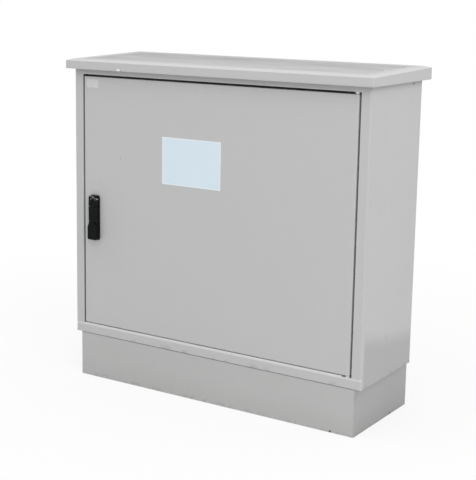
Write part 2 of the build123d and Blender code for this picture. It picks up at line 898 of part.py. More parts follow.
rotor -= lift_pin_bore
save("handle_rotor", rotor)
save("lift_pin", lift_pin_bore)

# Lever: barrel on the lift pin, neck in the rotor slot, grip below
lever_bottom = base_bottom + lever_end_gap
lever_top = hub_z - rotor_half - lever_shoulder_gap
lever_outline = Pos(handle_x, (lever_bottom + lever_top) / 2) * RectangleRounded(
    lever_width, lever_top - lever_bottom, lever_corner_radius
)
lever = facing(lever_outline, lever_front, lever_back)
lever = fillet(lever.faces().sort_by(Axis.Y)[0].edges(), lever_edge_radius)
neck_half = lever_neck_width / 2
lever += block(
    handle_x - neck_half,
    handle_x + neck_half,
    lever_front,
    lever_front + lever_neck_thickness,
    lever_top - lever_corner_radius,
    hub_z,
)
lever += sideways_rod(lift_y, hub_z, handle_x - neck_half, handle_x + neck_half, lever_neck_thickness)
lever -= sideways_rod(
    lift_y,
    hub_z,
    handle_x - neck_half - cut_overrun,
    handle_x + neck_half + cut_overrun,
    lift_pin_diameter + 2 * turning_clearance,
)
cover_bottom = lever_bottom
cover_top = cover_bottom + cover_length
cover_seat = lever_front + cover_recess
lever -= block(
    handle_x - lever_width,
    handle_x + lever_width,
    lever_front - cut_overrun,
    cover_seat,
    lever_bottom - cut_overrun,
    cover_top + lying_clearance,
)
cylinder_z = base_bottom + cylinder_height
cylinder_back = lever_back - lying_clearance
cover_pivot_z = cover_top - cover_width / 2
lever -= facing_rod(handle_x, cylinder_z, cover_seat - cut_overrun, cylinder_back, cylinder_diameter)
lever -= facing_rod(
    handle_x,
    cover_pivot_z,
    cover_seat - cut_overrun,
    cover_seat + cover_pin_length + lying_clearance,
    cover_pin_diameter + 2 * turning_clearance,
)
save("handle_lever", lever)

# Lock cylinder and turning key plug
plug_back = cylinder_back - lying_clearance
lock_cylinder = facing_rod(handle_x, cylinder_z, cover_seat, cylinder_back, cylinder_diameter)
lock_cylinder -= facing_rod(
    handle_x, cylinder_z, cover_seat - cut_overrun, plug_back, plug_diameter + 2 * turning_clearance
)
save("lock_cylinder", lock_cylinder)
key_plug = facing_rod(handle_x, cylinder_z, cover_seat, plug_back - thrust_clearance, plug_diameter)
key_plug -= block(
    handle_x - keyway_width / 2,
    handle_x + keyway_width / 2,
    cover_seat - cut_overrun,
    cover_seat + keyway_depth,
    cylinder_z - keyway_height / 2,
    cylinder_z + keyway_height / 2,
)
save("key_plug", key_plug)

# Key cover that swings aside on its pin
cover_back_y = cover_seat - sliding_clearance
cover_front_y = cover_back_y - cover_thickness
cover_outline = Pos(handle_x, (cover_bottom + cover_pivot_z) / 2) * Rectangle(
    cover_width, cover_pivot_z - cover_bottom
)
cover_outline = fillet(cover_outline.vertices().group_by(Axis.Y)[0], cover_corner_radius)
cover_outline += Pos(handle_x, cover_pivot_z) * Circle(cover_width / 2)
key_cover = facing(cover_outline, cover_front_y, cover_back_y)
key_cover = fillet(key_cover.faces().sort_by(Axis.Y)[0].edges(), cover_edge_radius)
key_cover += facing_rod(
    handle_x, cover_pivot_z, cover_back_y, cover_seat + cover_pin_length, cover_pin_diameter
)
save("key_cover", key_cover)

# Pinion and racks: involute teeth on the spindle draw both rods
pitch_radius = gear_module * gear_teeth / 2
circular_pitch = math.pi * gear_module
addendum = gear_module * gear_addendum_share
dedendum = gear_module * gear_dedendum_share
outer_radius = pitch_radius + addendum
root_radius = pitch_radius - dedendum
pressure = math.radians(gear_pressure_angle)
base_radius = pitch_radius * math.cos(pressure)
tooth_half = (circular_pitch / 2 - gear_backlash) / 2


def involute(angle):
    return math.tan(angle) - angle


def flank_angle(radius):
    """Half angle of a pinion tooth at a radius on its involute flank."""
    return tooth_half / pitch_radius + involute(pressure) - involute(math.acos(base_radius / radius))


def polar(radius, angle):
    return (radius * math.cos(angle), radius * math.sin(angle))


flank_radii = [base_radius, (base_radius + pitch_radius) / 2, pitch_radius,
               (pitch_radius + outer_radius) / 2, outer_radius]
flank = [polar(radius, flank_angle(radius)) for radius in flank_radii]
foot_radius = root_radius - gear_backlash
tooth_points = [polar(foot_radius, flank_angle(base_radius))] + flank
tooth_points += [(px, -py) for px, py in reversed(tooth_points)]
tooth = make_face(Polyline(*tooth_points, close=True))
gear_outline = Circle(root_radius) + [Rot(0, 0, n * 360 / gear_teeth) * tooth for n in range(gear_teeth)]
gear_place = Pos(handle_x, hub_z)
pinion = facing(gear_place * gear_outline, rod_front, rod_back)
pinion += facing_rod(handle_x, hub_z, lock_floor + lying_clearance, rod_front, gear_boss_diameter)
pinion += facing_rod(handle_x, hub_z, rod_back, cover_front - lying_clearance, gear_boss_diameter)
square_bore = spindle_square + 2 * turning_clearance
pinion -= block(
    handle_x - square_bore / 2,
    handle_x + square_bore / 2,
    lock_floor,
    cover_front,
    hub_z - square_bore / 2,
    hub_z + square_bore / 2,
)
save("lock_pinion", pinion)


def rack_tooth(side, level):
    """One rack tooth beside the pinion, pointing at its axis."""
    tip_half = tooth_half - addendum * math.tan(pressure)
    root_half = tooth_half + dedendum * math.tan(pressure)
    tip = handle_x + side * (pitch_radius - addendum)
    root = handle_x + side * (pitch_radius + dedendum)
    return make_face(Polyline(
        (root, level - root_half),
        (tip, level - tip_half),
        (tip, level + tip_half),
        (root, level + root_half),
        close=True,
    ))


rod_travel = pitch_radius * math.pi / 2
rod_root = pitch_radius + dedendum
guides = []
for node, side, tip_level, way in (
    ("upper_rod", -1, lip_top - rod_tip_gap, 1),
    ("lower_rod", 1, lip_bottom + rod_tip_gap, -1),
):
    inner_edge = handle_x + side * rod_root
    outer_edge = inner_edge + side * rod_width
    middle = (inner_edge + outer_edge) / 2
    tail_level = hub_z - way * rod_overrun
    bar = Pos(middle, (tail_level + tip_level) / 2) * Rectangle(rod_width, abs(tip_level - tail_level))
    tip_points = bar.vertices().sort_by_distance(Vector(middle, tip_level))[:2]
    bar = chamfer(tip_points, rod_tip_chamfer)
    first = -math.floor(rod_overrun / circular_pitch)
    last = math.floor((rod_travel + rod_overrun) / circular_pitch)
    for count in range(first, last):
        bar += rack_tooth(side, hub_z + way * (count + 1 / 2) * circular_pitch)
    save(node, facing(bar, rod_front, rod_back))
    guide_level = tip_level - way * guide_distance
    guide_outline = Pos(middle, (skin_back + rod_back + guide_wall) / 2) * Rectangle(
        guide_width, rod_back + guide_wall - skin_back
    )
    guide_outline = fillet(guide_outline.vertices().group_by(Axis.Y)[-1], guide_corner_radius)
    guide = upright(guide_outline, guide_level - guide_height / 2, guide_level + guide_height / 2)
    guide -= block(
        middle - rod_width / 2 - sliding_clearance,
        middle + rod_width / 2 + sliding_clearance,
        rod_front - sliding_clearance,
        rod_back + sliding_clearance,
        guide_level - guide_height / 2 - cut_overrun,
        guide_level + guide_height / 2 + cut_overrun,
    )
    guides.append(guide)
save("rod_guides", *guides)


# Gas pipework, valves and regulator
def ring_rod(x, z0, z1):
    """Length of upright pipe."""
    pipe = upright_rod(x, pipe_y, z0, z1, pipe_diameter)
    return pipe - upright_rod(x, pipe_y, z0 - cut_overrun, z1 + cut_overrun, pipe_bore)


def pipe_bend(x0, z0, x1, z1):
    """Pipe that rises, crosses over at the top level and comes down again."""
    path = FilletPolyline(
        (x0, pipe_y, z0), (x0, pipe_y, pipe_top), (x1, pipe_y, pipe_top), (x1, pipe_y, z1), radius=bend_radius
    )
    section = Plane(origin=(x0, pipe_y, z0), z_dir=(0, 0, 1))
    return sweep(section * (Circle(pipe_diameter / 2) - Circle(pipe_bore / 2)), path=path)


socket_bore = pipe_diameter + 2 * turning_clearance
valve_lever_back = pipe_y - valve_boss_reach - lying_clearance
valve_lever_front = valve_lever_back - valve_lever_thickness


def valve_body(x):
    body = upright(Pos(x, pipe_y) * hexagon(valve_hex_width), valve_bottom, valve_bottom + valve_hex_length)
    body += upright(Pos(x, pipe_y) * hexagon(valve_hex_width), valve_top - valve_hex_length, valve_top)
    barrel = upright_rod(
        x, pipe_y, valve_bottom + valve_hex_length, valve_top - valve_hex_length, valve_barrel_diameter
    )
    body += fillet(barrel.edges().filter_by(GeomType.CIRCLE), valve_barrel_fillet)
    body += facing_rod(x, valve_z, pipe_y - valve_boss_reach, pipe_y, valve_boss_diameter)
    body -= upright_rod(x, pipe_y, valve_bottom, valve_top, pipe_bore)
    for z0, z1 in (
        (valve_bottom - cut_overrun, valve_bottom + socket_depth),
        (valve_top - socket_depth, valve_top + cut_overrun),
    ):
        body -= upright_rod(x, pipe_y, z0, z1, socket_bore)
    stem_bore = valve_stem_diameter + 2 * turning_clearance
    body -= facing_rod(x, valve_z, pipe_y - valve_boss_reach - cut_overrun, pipe_y, stem_bore)
    return body


def valve_stem(x):
    nut_front = valve_lever_front - valve_nut_height
    stem = facing_rod(x, valve_z, nut_front, pipe_y - valve_stem_depth, valve_stem_diameter)
    return stem + facing(Pos(x, valve_z) * hexagon(valve_nut_width), nut_front, valve_lever_front)


def valve_lever(x):
    tail = valve_z - valve_lever_length
    outline = make_hull([
        *(Pos(x, valve_z) * Circle(valve_lever_head_width / 2)).edges(),
        *(Pos(x, tail + valve_lever_width / 2) * Circle(valve_lever_width / 2)).edges(),
    ])
    lever_plate = facing(outline, valve_lever_front, valve_lever_back)
    return lever_plate - facing_rod(
        x, valve_z, valve_lever_front - cut_overrun, valve_lever_back + cut_overrun, valve_stem_diameter
    )


for side_name, x in (("inlet", -pipe_x), ("outlet", pipe_x)):
    save(side_name + "_riser", ring_rod(x, pipe_end_height, valve_bottom + socket_depth))
    save(side_name + "_valve_body", valve_body(x))
    save(side_name + "_valve_stem", valve_stem(x))
    save(side_name + "_valve_lever", valve_lever(x))

# Regulator above the inlet valve, with its diaphragm case to the left
regulator_z = (regulator_bottom + regulator_top) / 2
neck_end = -pipe_x - regulator_neck_reach
flange_plane = neck_end - diaphragm_dish_depth - diaphragm_flange
dish_diameter = diaphragm_diameter * diaphragm_dish_share
save("inlet_nipple", ring_rod(-pipe_x, valve_top - socket_depth, regulator_bottom + socket_depth))
regulator = upright_rod(
    -pipe_x,
    pipe_y,
    regulator_bottom + regulator_hex_length,
    regulator_top - regulator_hex_length,
    regulator_barrel_diameter,
)
regulator += upright(
    Pos(-pipe_x, pipe_y) * hexagon(regulator_hex_width),
    regulator_bottom,
    regulator_bottom + regulator_hex_length,
)
regulator += upright(
    Pos(-pipe_x, pipe_y) * hexagon(regulator_hex_width), regulator_top - regulator_hex_length, regulator_top
)
regulator += sideways_rod(pipe_y, regulator_z, neck_end, -pipe_x, regulator_neck_diameter)


def dish(x0, x1, diameter0, diameter1):
    """Cone frustum across X."""
    plane0 = Plane(origin=(x0, pipe_y, regulator_z), x_dir=(0, 1, 0), z_dir=(1, 0, 0))
    plane1 = Plane(origin=(x1, pipe_y, regulator_z), x_dir=(0, 1, 0), z_dir=(1, 0, 0))
    return loft([plane0 * Circle(diameter0 / 2), plane1 * Circle(diameter1 / 2)])


regulator += dish(
    neck_end - diaphragm_dish_depth, neck_end, dish_diameter, regulator_neck_diameter + 2 * regulator_wall
)
regulator += sideways_rod(
    pipe_y, regulator_z, flange_plane, neck_end - diaphragm_dish_depth, diaphragm_diameter
)
regulator -= upright_rod(-pipe_x, pipe_y, regulator_bottom, regulator_top, pipe_bore)
for z0, z1 in (
    (regulator_bottom - cut_overrun, regulator_bottom + socket_depth),
    (regulator_top - socket_depth, regulator_top + cut_overrun),
):
    regulator -= upright_rod(-pipe_x, pipe_y, z0, z1, socket_bore)
regulator -= sideways_rod(
    pipe_y, regulator_z, flange_plane - cut_overrun, -pipe_x, regulator_neck_diameter - 2 * regulator_wall
)
save("regulator_body", regulator)
cover_flange = flange_plane - diaphragm_flange
cover_end = cover_flange - diaphragm_dish_depth
bonnet_end = cover_end - bonnet_length
regulator_cover = sideways_rod(pipe_y, regulator_z, cover_flange, flange_plane, diaphragm_diameter)
regulator_cover += dish(cover_end, cover_flange, bonnet_diameter + 2 * regulator_wall, dish_diameter)
regulator_cover += sideways_rod(pipe_y, regulator_z, bonnet_end, cover_end, bonnet_diameter)
regulator_cover -= sideways_rod(
    pipe_y,
    regulator_z,
    bonnet_end - cut_overrun,
    flange_plane + cut_overrun,
    bonnet_diameter - 2 * regulator_wall,
)
save("regulator_cover", regulator_cover)
save(
    "regulator_cap",
    sideways_rod(pipe_y, regulator_z, bonnet_end - bonnet_cap_length, bonnet_end, bonnet_cap_diameter),
)

# Gas meter: two pressed case halves, clamping band and index
meter_bottom = body_bottom + meter_height
meter_joint = meter_bottom + meter_lower_height
meter_top = meter_joint + meter_upper_height
port_top = meter_top + meter_port_height
inner_meter_width = meter_width - 2 * meter_thickness
inner_meter_depth = meter_depth - 2 * meter_thickness
meter_plan = Pos(0, pipe_y) * RectangleRounded(meter_width, meter_depth, meter_corner_radius)
inner_plan = Pos(0, pipe_y) * RectangleRounded(
    inner_meter_width, inner_meter_depth, meter_corner_radius - meter_thickness
)
inner_edge_radius = meter_edge_radius - meter_thickness
lower_case = upright(meter_plan, meter_bottom, meter_joint)
lower_case = fillet(lower_case.faces().sort_by(Axis.Z)[0].edges(), meter_edge_radius)
lower_hollow = upright(inner_plan, meter_bottom + meter_thickness, meter_joint)
lower_case -= fillet(lower_hollow.faces().sort_by(Axis.Z)[0].edges(), inner_edge_radius)
save("meter_lower_case", lower_case)
upper_case = upright(meter_plan, meter_joint, meter_top)
upper_case = fillet(upper_case.faces().sort_by(Axis.Z)[-1].edges(), meter_edge_radius)
for x in (-port_x, port_x):
    upper_case += upright_rod(x, pipe_y, meter_top - meter_thickness, port_top, pipe_diameter)
upper_hollow = upright(inner_plan, meter_joint, meter_top - meter_thickness)
upper_case -= fillet(upper_hollow.faces().sort_by(Axis.Z)[-1].edges(), inner_edge_radius)
for x in (-port_x, port_x):
    upper_case -= upright_rod(x, pipe_y, meter_top - meter_thickness - cut_overrun, port_top, pipe_bore)
save("meter_upper_case", upper_case)
band_plan = Pos(0, pipe_y) * RectangleRounded(
    meter_width + 2 * meter_band_width,
    meter_depth + 2 * meter_band_width,
    meter_corner_radius + meter_band_width,
)
save(
    "meter_band",
    upright(band_plan - meter_plan, meter_joint - meter_band_height / 2, meter_joint + meter_band_height / 2),
)
union_bore = pipe_diameter + 2 * turning_clearance
unions = []
for x in (-port_x, port_x):
    nut = upright(
        Pos(x, pipe_y) * RegularPolygon(union_width / 2, 8, major_radius=False),
        meter_top + union_lead,
        meter_top + union_lead + union_height,
    )
    nut -= upright_rod(
        x, pipe_y, meter_top, meter_top + union_lead + union_height + cut_overrun, union_bore
    )
    unions.append(nut)
save("meter_unions", *unions)
meter_front = pipe_y - meter_depth / 2
index_front = meter_front - index_depth
index_middle = meter_joint + index_rise + index_height / 2
index_place = Pos(0, index_middle)
index_outline = RectangleRounded(index_width, index_height, index_corner_radius)
index_opening = Rectangle(index_width - 2 * index_wall, index_height - 2 * index_wall)
index_housing = facing(index_place * index_outline, index_front, meter_front)
index_housing -= facing(
    index_place * index_opening, index_front - cut_overrun, meter_front - index_wall
)
save("index_housing", index_housing)
index_face_back = meter_front - index_wall
save(
    "index_face",
    facing(index_place * index_opening, index_face_back - index_face_thickness, index_face_back),
)
window_front = index_front + index_window_setback
save(
    "index_window",
    facing(index_place * index_opening, window_front, window_front + index_window_thickness),
)

# Bends from regulator to meter and from meter to outlet valve
save("inlet_bend", pipe_bend(-pipe_x, regulator_top - socket_depth, -port_x, port_top))
save("outlet_bend", pipe_bend(pipe_x, valve_top - socket_depth, port_x, port_top))

# Mounting rails on the back panel
rail_front = rear_panel_front - rail_depth
rail_end = pipe_x + rail_overhang
for node, level in rail_levels.items():
    low = level - rail_height / 2
    high = low + rail_height
    channel = folded_strip(
        [(rear_panel_front, high), (rail_front, high), (rail_front, low), (rear_panel_front, low)],
        rail_thickness,
        rail_bend_radius - rail_thickness,
    )
    save(node, sideways(channel, -rail_end, rail_end))

# Meter shelf: angle bracket on the lower rail
shelf_low = rail_levels["rail_lower"] - rail_height / 2
shelf_section = folded_strip(
    [(rail_front, shelf_low), (rail_front, meter_bottom), (rail_front - shelf_reach, meter_bottom)],
    shelf_thickness,
    shelf_bend_radius,
)
save("meter_shelf", sideways(shelf_section, -shelf_width / 2, shelf_width / 2))

# Pipe clamps with their rods to the rails
clamps = []
clamp_rods = []
clamp_bore = pipe_diameter + 2 * turning_clearance
clamp_diameter = clamp_bore + 2 * clamp_wall
boss_end = pipe_y + clamp_diameter / 2 + clamp_boss_length
for level in rail_levels.values():
    low = level - clamp_width / 2
    high = level + clamp_width / 2
    for x in (-pipe_x, pipe_x):
        clamp = upright_rod(x, pipe_y, low, high, clamp_diameter)
        ear_reach = clamp_diameter / 2 + clamp_ear
        clamp += block(
            x - ear_reach,
            x + ear_reach,
            pipe_y - clamp_ear_thickness / 2,
            pipe_y + clamp_ear_thickness / 2,
            low,
            high,
        )
        clamp += facing_rod(x, level, pipe_y, boss_end, clamp_boss_diameter)
        clamp -= upright_rod(x, pipe_y, low - cut_overrun, high + cut_overrun, clamp_bore)
        clamps.append(clamp)
        clamp_rods.append(facing_rod(x, level, boss_end, rail_front, clamp_rod_diameter))
save("pipe_clamps", *clamps)
save("clamp_rods", *clamp_rods)
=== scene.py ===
import math

import bmesh
import bpy
from mathutils import Matrix, Vector


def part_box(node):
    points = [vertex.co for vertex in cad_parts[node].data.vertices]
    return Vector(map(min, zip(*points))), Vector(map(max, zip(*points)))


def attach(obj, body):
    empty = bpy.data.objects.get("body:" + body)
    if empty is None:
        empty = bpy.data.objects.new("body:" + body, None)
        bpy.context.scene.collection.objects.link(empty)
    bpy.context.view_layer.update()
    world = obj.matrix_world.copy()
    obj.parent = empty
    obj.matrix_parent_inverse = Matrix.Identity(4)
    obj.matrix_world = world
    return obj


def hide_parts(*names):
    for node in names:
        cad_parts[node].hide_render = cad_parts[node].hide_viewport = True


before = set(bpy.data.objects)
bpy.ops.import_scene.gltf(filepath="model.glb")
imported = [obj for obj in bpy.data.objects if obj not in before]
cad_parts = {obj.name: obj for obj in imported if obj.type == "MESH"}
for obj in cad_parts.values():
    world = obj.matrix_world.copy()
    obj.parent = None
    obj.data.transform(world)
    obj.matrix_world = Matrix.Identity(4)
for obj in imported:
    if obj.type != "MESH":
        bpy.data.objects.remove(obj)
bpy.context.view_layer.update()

bl_info = {
    "name": "Gas meter cabinet",
    "version": (1, 0, 0),
    "blender": (4, 5, 0),
    "location": "3D View > Sidebar > Cabinet",
    "description": "Dresses a street cabinet for a gas meter with its finishes, small fasteners and stage",
    "category": "Object",
}

MM = 0.001
WHITE = (1.0, 1.0, 1.0, 1.0)
DOOR_GAP = 6 * MM


def maths(operation, reflected=False):
    """An operator of Value, which adds one Math node to the value's own tree."""
    def apply(self, other=0.0):
        first, second = (other, self) if reflected else (self, other)
        return self.graph.value("ShaderNodeMath", {"operation": operation}, {0: first, 1: second})
    return apply


class Value:
    """A socket that Python sums can use."""

    def __init__(self, graph, socket):
        self.graph = graph
        self.socket = socket

    __add__, __radd__ = maths("ADD"), maths("ADD", True)
    __sub__, __rsub__ = maths("SUBTRACT"), maths("SUBTRACT", True)
    __mul__, __rmul__ = maths("MULTIPLY"), maths("MULTIPLY", True)
    __gt__, __lt__ = maths("GREATER_THAN"), maths("LESS_THAN")
    __abs__, root, sine = maths("ABSOLUTE"), maths("SQRT"), maths("SINE")
    at_least, at_most = maths("MAXIMUM"), maths("MINIMUM")


class Graph:
    """A node tree with one method that makes nodes."""

    def __init__(self, tree):
        self.tree = tree
        tree.nodes.clear()

    def feed(self, socket, given):
        """Links a value to a socket, or sets the socket; None leaves it as it is."""
        given = given.socket if isinstance(given, Value) else given
        if isinstance(given, bpy.types.NodeSocket):
            self.tree.links.new(given, socket)
        elif given is not None:
            socket.default_value = given

    def node(self, kind, settings=None, inputs=None):
        made = self.tree.nodes.new(kind)
        for name, setting in (settings or {}).items():
            setattr(made, name, setting)
        for name, given in (inputs or {}).items():
            self.feed(made.inputs[name], given)
        return made

    def value(self, kind, settings=None, inputs=None, output=0):
        return Value(self, self.node(kind, settings, inputs).outputs[output])

    def parts(self, vector):
        split = self.node("ShaderNodeSeparateXYZ", None, {0: vector})
        return [Value(self, socket) for socket in split.outputs]

    def step(self, value, low, high, start=0.0, end=1.0):
        """A soft rise from start at low to end at high, where low may also be the larger of the two."""
        return self.value("ShaderNodeMapRange", {"interpolation_type": "SMOOTHSTEP"},
                          {"Value": value, "From Min": low, "From Max": high, "To Min": start, "To Max": end})


class Finish(Graph):
    """One procedural material, with the masks and layers that its colours are made from."""

    def __init__(self, name):
        self.material = bpy.data.materials.new(name)
        self.material.use_nodes = True
        super().__init__(self.material.node_tree)
        self.shader = self.node("ShaderNodeBsdfPrincipled")
        self.node("ShaderNodeOutputMaterial", None, {"Surface": self.shader.outputs[0]})
        place = self.node("ShaderNodeTexCoord")
        self.place = Value(self, place.outputs["Object"])
        self.facing = Value(self, place.outputs["Normal"])
        self.x, self.y, self.z = self.parts(self.place)

    def noise(self, scale, detail=2.0, stretch=None, blur=0.5):
        """Cloudy values about 0.5, drawn out where the stretch is small."""
        place = self.place
        if stretch:
            place = self.value("ShaderNodeMapping", None, {"Vector": place, "Scale": stretch})
        return self.value("ShaderNodeTexNoise", None,
                          {"Vector": place, "Scale": scale, "Detail": detail, "Roughness": blur})

    def cells(self, scale):
        """Distance to the middle of a cell, and a number drawn for each cell."""
        made = self.node("ShaderNodeTexVoronoi", None, {"Vector": self.place, "Scale": scale})
        return Value(self, made.outputs["Distance"]), self.parts(made.outputs["Color"])[0]

    def spot(self, centre, radius, softness, ragged):
        """A round mark with a soft and ragged edge."""
        far = self.value("ShaderNodeVectorMath", {"operation": "DISTANCE"},
                         {0: self.place, 1: centre}, "Value")
        far = far + (self.noise(1.6 / radius, 3.0) - 0.5) * (ragged * radius)
        return self.step(far, radius * (1 + softness), radius * (1 - softness))

    def spots(self, *rows):
        """Several spots as one mask."""
        whole, *others = [self.spot(*row) for row in rows]
        for other in others:
            whole = whole.at_least(other)
        return whole

    def inset(self, low, high, axes="xz"):
        """Distance inwards from the nearest edge of a rectangle."""
        near = [(getattr(self, axis) - getattr(low, axis)).at_most(getattr(high, axis) - getattr(self, axis))
                for axis in axes]
        return near[0].at_most(near[1])

    def around(self, hub):
        """Distance from an axis along Y."""
        across, along = self.x - hub.x, self.z - hub.z
        return (across * across + along * along).root()

    def mix(self, mask, below, above):
        """Lays one colour over another where the mask is."""
        return self.value("ShaderNodeMix", {"data_type": "RGBA"},
                          {0: mask, 6: colour4(below), 7: colour4(above)}, 2)

    def shade(self, colour, tone):
        """A colour made darker or lighter by a tone about 1."""
        return self.value("ShaderNodeVectorMath", {"operation": "SCALE"}, {0: tuple(colour), "Scale": tone})

    def relief(self, height, depth, under=None, strength=1.0):
        """Fine bumps, on top of coarser ones where given."""
        return self.value("ShaderNodeBump", None,
                          {"Height": height, "Distance": depth, "Strength": strength, "Normal": under})

    def close(self, colour, **sockets):
        """Sets the shader's colour and other sockets, whose words are joined by underscores."""
        self.feed(self.shader.inputs["Base Color"], colour)
        for name, given in sockets.items():
            self.feed(self.shader.inputs[name.replace("_", " ")], given)
        return self.material


def colour4(colour):
    return colour if isinstance(colour, Value) else (*colour, 1.0)


def mid(node):
    low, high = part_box(node)
    return (low + high) / 2


def new_object(name, data):
    """Puts an object into the scene."""
    made = bpy.data.objects.new(name, data)
    bpy.context.scene.collection.objects.link(made)
    return made


def plain_mesh(holder):
    """Keeps what an object shows as a mesh, and removes the object."""
    bpy.context.view_layer.update()
    mesh = bpy.data.meshes.new_from_object(holder.evaluated_get(bpy.context.evaluated_depsgraph_get()))
    holder.modifiers.clear()
    bpy.data.objects.remove(holder)
    return mesh


def new_piece(name, mesh, body, material=None):
    """Makes a finished mesh a piece that rides on a body."""
    piece = new_object(name, mesh)
    if material is not None:
        mesh.materials.clear()
        mesh.materials.append(material)
    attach(piece, body)
    return piece


def grown_piece(name, build, sizes, material, body, place):
    """Runs a geometry node tree once and keeps its result as a plain mesh in its place."""
    tree = bpy.data.node_groups.new(name, "GeometryNodeTree")
    tree.interface.new_socket("Shape", in_out="OUTPUT", socket_type="NodeSocketGeometry")
    kinds = {int: "NodeSocketInt", float: "NodeSocketFloat", bpy.types.Material: "NodeSocketMaterial"}
    settings = {}
    for label, given in {**sizes, "Finish": material}.items():
        socket = tree.interface.new_socket(label, in_out="INPUT", socket_type=kinds[type(given)])
        settings[socket.identifier] = given
    graph = Graph(tree)
    given = {socket.name: Value(graph, socket) for socket in graph.node("NodeGroupInput").outputs}
    solid = graph.value("GeometryNodeRealizeInstances", None, {0: build(graph, given)})
    painted = graph.value("GeometryNodeSetMaterial", None, {0: solid, "Material": given["Finish"]})
    graph.node("NodeGroupOutput", None, {0: painted})
    holder = new_object(name + ".grow", bpy.data.meshes.new(name + ".grow"))
    modifier = holder.modifiers.new("Grow", "NODES")
    modifier.node_group = tree
    for key, setting in settings.items():
        modifier[key] = setting
    mesh = plain_mesh(holder)
    if not mesh.polygons:
        raise RuntimeError(name + ": the node tree made no faces")
    mesh.transform(place)
    mesh.name = name
    new_piece(name, mesh, body)


def kept_mesh(name, shape, smooth=False):
    """Turns a finished shape into a mesh with its faces outwards."""
    bmesh.ops.recalc_face_normals(shape, faces=shape.faces)
    for face in shape.faces:
        face.smooth = smooth
    mesh = bpy.data.meshes.new(name)
    shape.to_mesh(mesh)
    shape.free()
    return mesh


def film_corners(sizes):
    """Lower left and upper right corner of the label film, within the label place."""
    low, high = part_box("label_plate")
    offset = Vector((-0.2 * MM, 0.0, -2.0 * MM))
    centre = mid("label_plate") + offset
    half = Vector((sizes.label_width / 2, (high.y - low.y) / 2, sizes.label_height / 2))
    return centre - half, centre + half


def film_mesh(low, high, corner):
    """A thin closed film with rounded corners."""
    shape = bmesh.new()
    rings = []
    steps = 4
    left, right, bottom, top = low.x + corner, high.x - corner, low.z + corner, high.z - corner
    for y in (low.y, high.y):
        ring = []
        for turn, (x, z) in enumerate(((right, top), (left, top), (left, bottom), (right, bottom))):
            for step in range(steps + 1):
                angle = math.pi / 2 * (turn + step / steps)
                ring.append(shape.verts.new((x + corner * math.cos(angle), y, z + corner * math.sin(angle))))
        rings.append(ring)
    front, back = rings
    shape.faces.new(front)
    shape.faces.new(list(reversed(back)))
    for n in range(len(front)):
        shape.faces.new((front[n - 1], back[n - 1], back[n], front[n]))
    return kept_mesh("label_film", shape)


def block_mesh(name, blocks, edge):
    """Blocks with eased edges, each given by two corners."""
    shape = bmesh.new()
    for low, high in blocks:
        place = Matrix.Translation((low + high) / 2) @ Matrix.Diagonal((*(high - low), 1.0))
        cube = bmesh.ops.create_cube(shape, size=1.0, matrix=place)["verts"]
        edges = list({e for v in cube for e in v.link_edges})
        bmesh.ops.bevel(shape, geom=edges, offset=edge, segments=3, profile=0.5, affect="EDGES")
    return kept_mesh(name, shape, True)


class CabinetFinish(bpy.types.PropertyGroup):
    """Colours of the cabinet's finishes and how dirty they are."""

    coat: bpy.props.FloatVectorProperty(
        name="Housing coat", description="Powder coat on housing, door and roof", subtype="COLOR",
        default=(0.479, 0.479, 0.478), min=0.0, max=1.0)
    plinth: bpy.props.FloatVectorProperty(
        name="Plinth coat", description="Powder coat on the plinth", subtype="COLOR",
        default=(0.44, 0.44, 0.438), min=0.0, max=1.0)
    label: bpy.props.FloatVectorProperty(
        name="Label film", description="Bare film in the label place", subtype="COLOR",
        default=(0.62, 0.725, 0.80), min=0.0, max=1.0)
    handle: bpy.props.FloatVectorProperty(
        name="Handle coat", description="Black coat on the swing handle", subtype="COLOR",
        default=(0.0040, 0.0052, 0.0050), min=0.0, max=1.0)
    pipe: bpy.props.FloatVectorProperty(
        name="Pipe paint", description="Yellow paint on the gas pipes", subtype="COLOR",
        default=(0.70, 0.43, 0.015), min=0.0, max=1.0)
    dirt: bpy.props.FloatProperty(
        name="Dirt", description="Strength of stains, dust and streaks", subtype="FACTOR",
        default=1.0, min=0.0, max=2.0)


class CabinetFixings(bpy.types.PropertyGroup):
    """Sizes of the small fasteners and the label film."""

    rivet_diameter: bpy.props.FloatProperty(
        name="Rivet diameter", description="Head diameter of the back panel's rivets", subtype="DISTANCE",
        default=9.0 * MM, min=2.0 * MM, max=20.0 * MM)
    rivet_spacing: bpy.props.FloatProperty(
        name="Rivet spacing", description="Distance between rivets along the rear flange", subtype="DISTANCE",
        default=150.0 * MM, min=20.0 * MM, max=500.0 * MM)
    screw_width: bpy.props.FloatProperty(
        name="Screw width", description="Width of the hexagon screws", subtype="DISTANCE",
        default=10.0 * MM, min=3.0 * MM, max=20.0 * MM)
    label_width: bpy.props.FloatProperty(
        name="Label width", description="Width of the bare film in the label place", subtype="DISTANCE",
        default=205.4 * MM, min=50.0 * MM, max=212.0 * MM)
    label_height: bpy.props.FloatProperty(
        name="Label height", description="Height of the bare film in the label place", subtype="DISTANCE",
        default=140.4 * MM, min=50.0 * MM, max=149.0 * MM)
    flange_screws: bpy.props.IntProperty(
        name="Flange screws", description="Screws round the regulator's flange", default=8, min=3, max=24)


class CabinetStage(bpy.types.PropertyGroup):
    """Floor, light and camera."""

    floor: bpy.props.FloatVectorProperty(
        name="Floor colour", description="Plain pale floor", subtype="COLOR", default=(0.88, 0.88, 0.88),
        min=0.0, max=1.0)
    sky: bpy.props.FloatProperty(
        name="Sky light", description="Strength of the soft light from all round", default=0.72,
        min=0.0, max=5.0)
    key: bpy.props.FloatProperty(
        name="Key lamp", description="Power of the large lamp at the front right", subtype="POWER",
        default=95.0, min=0.0, max=2000.0)
    lens: bpy.props.FloatProperty(
        name="Lens", description="Focal length of the camera", subtype="DISTANCE_CAMERA", default=90.553,
        min=10.0, max=300.0)


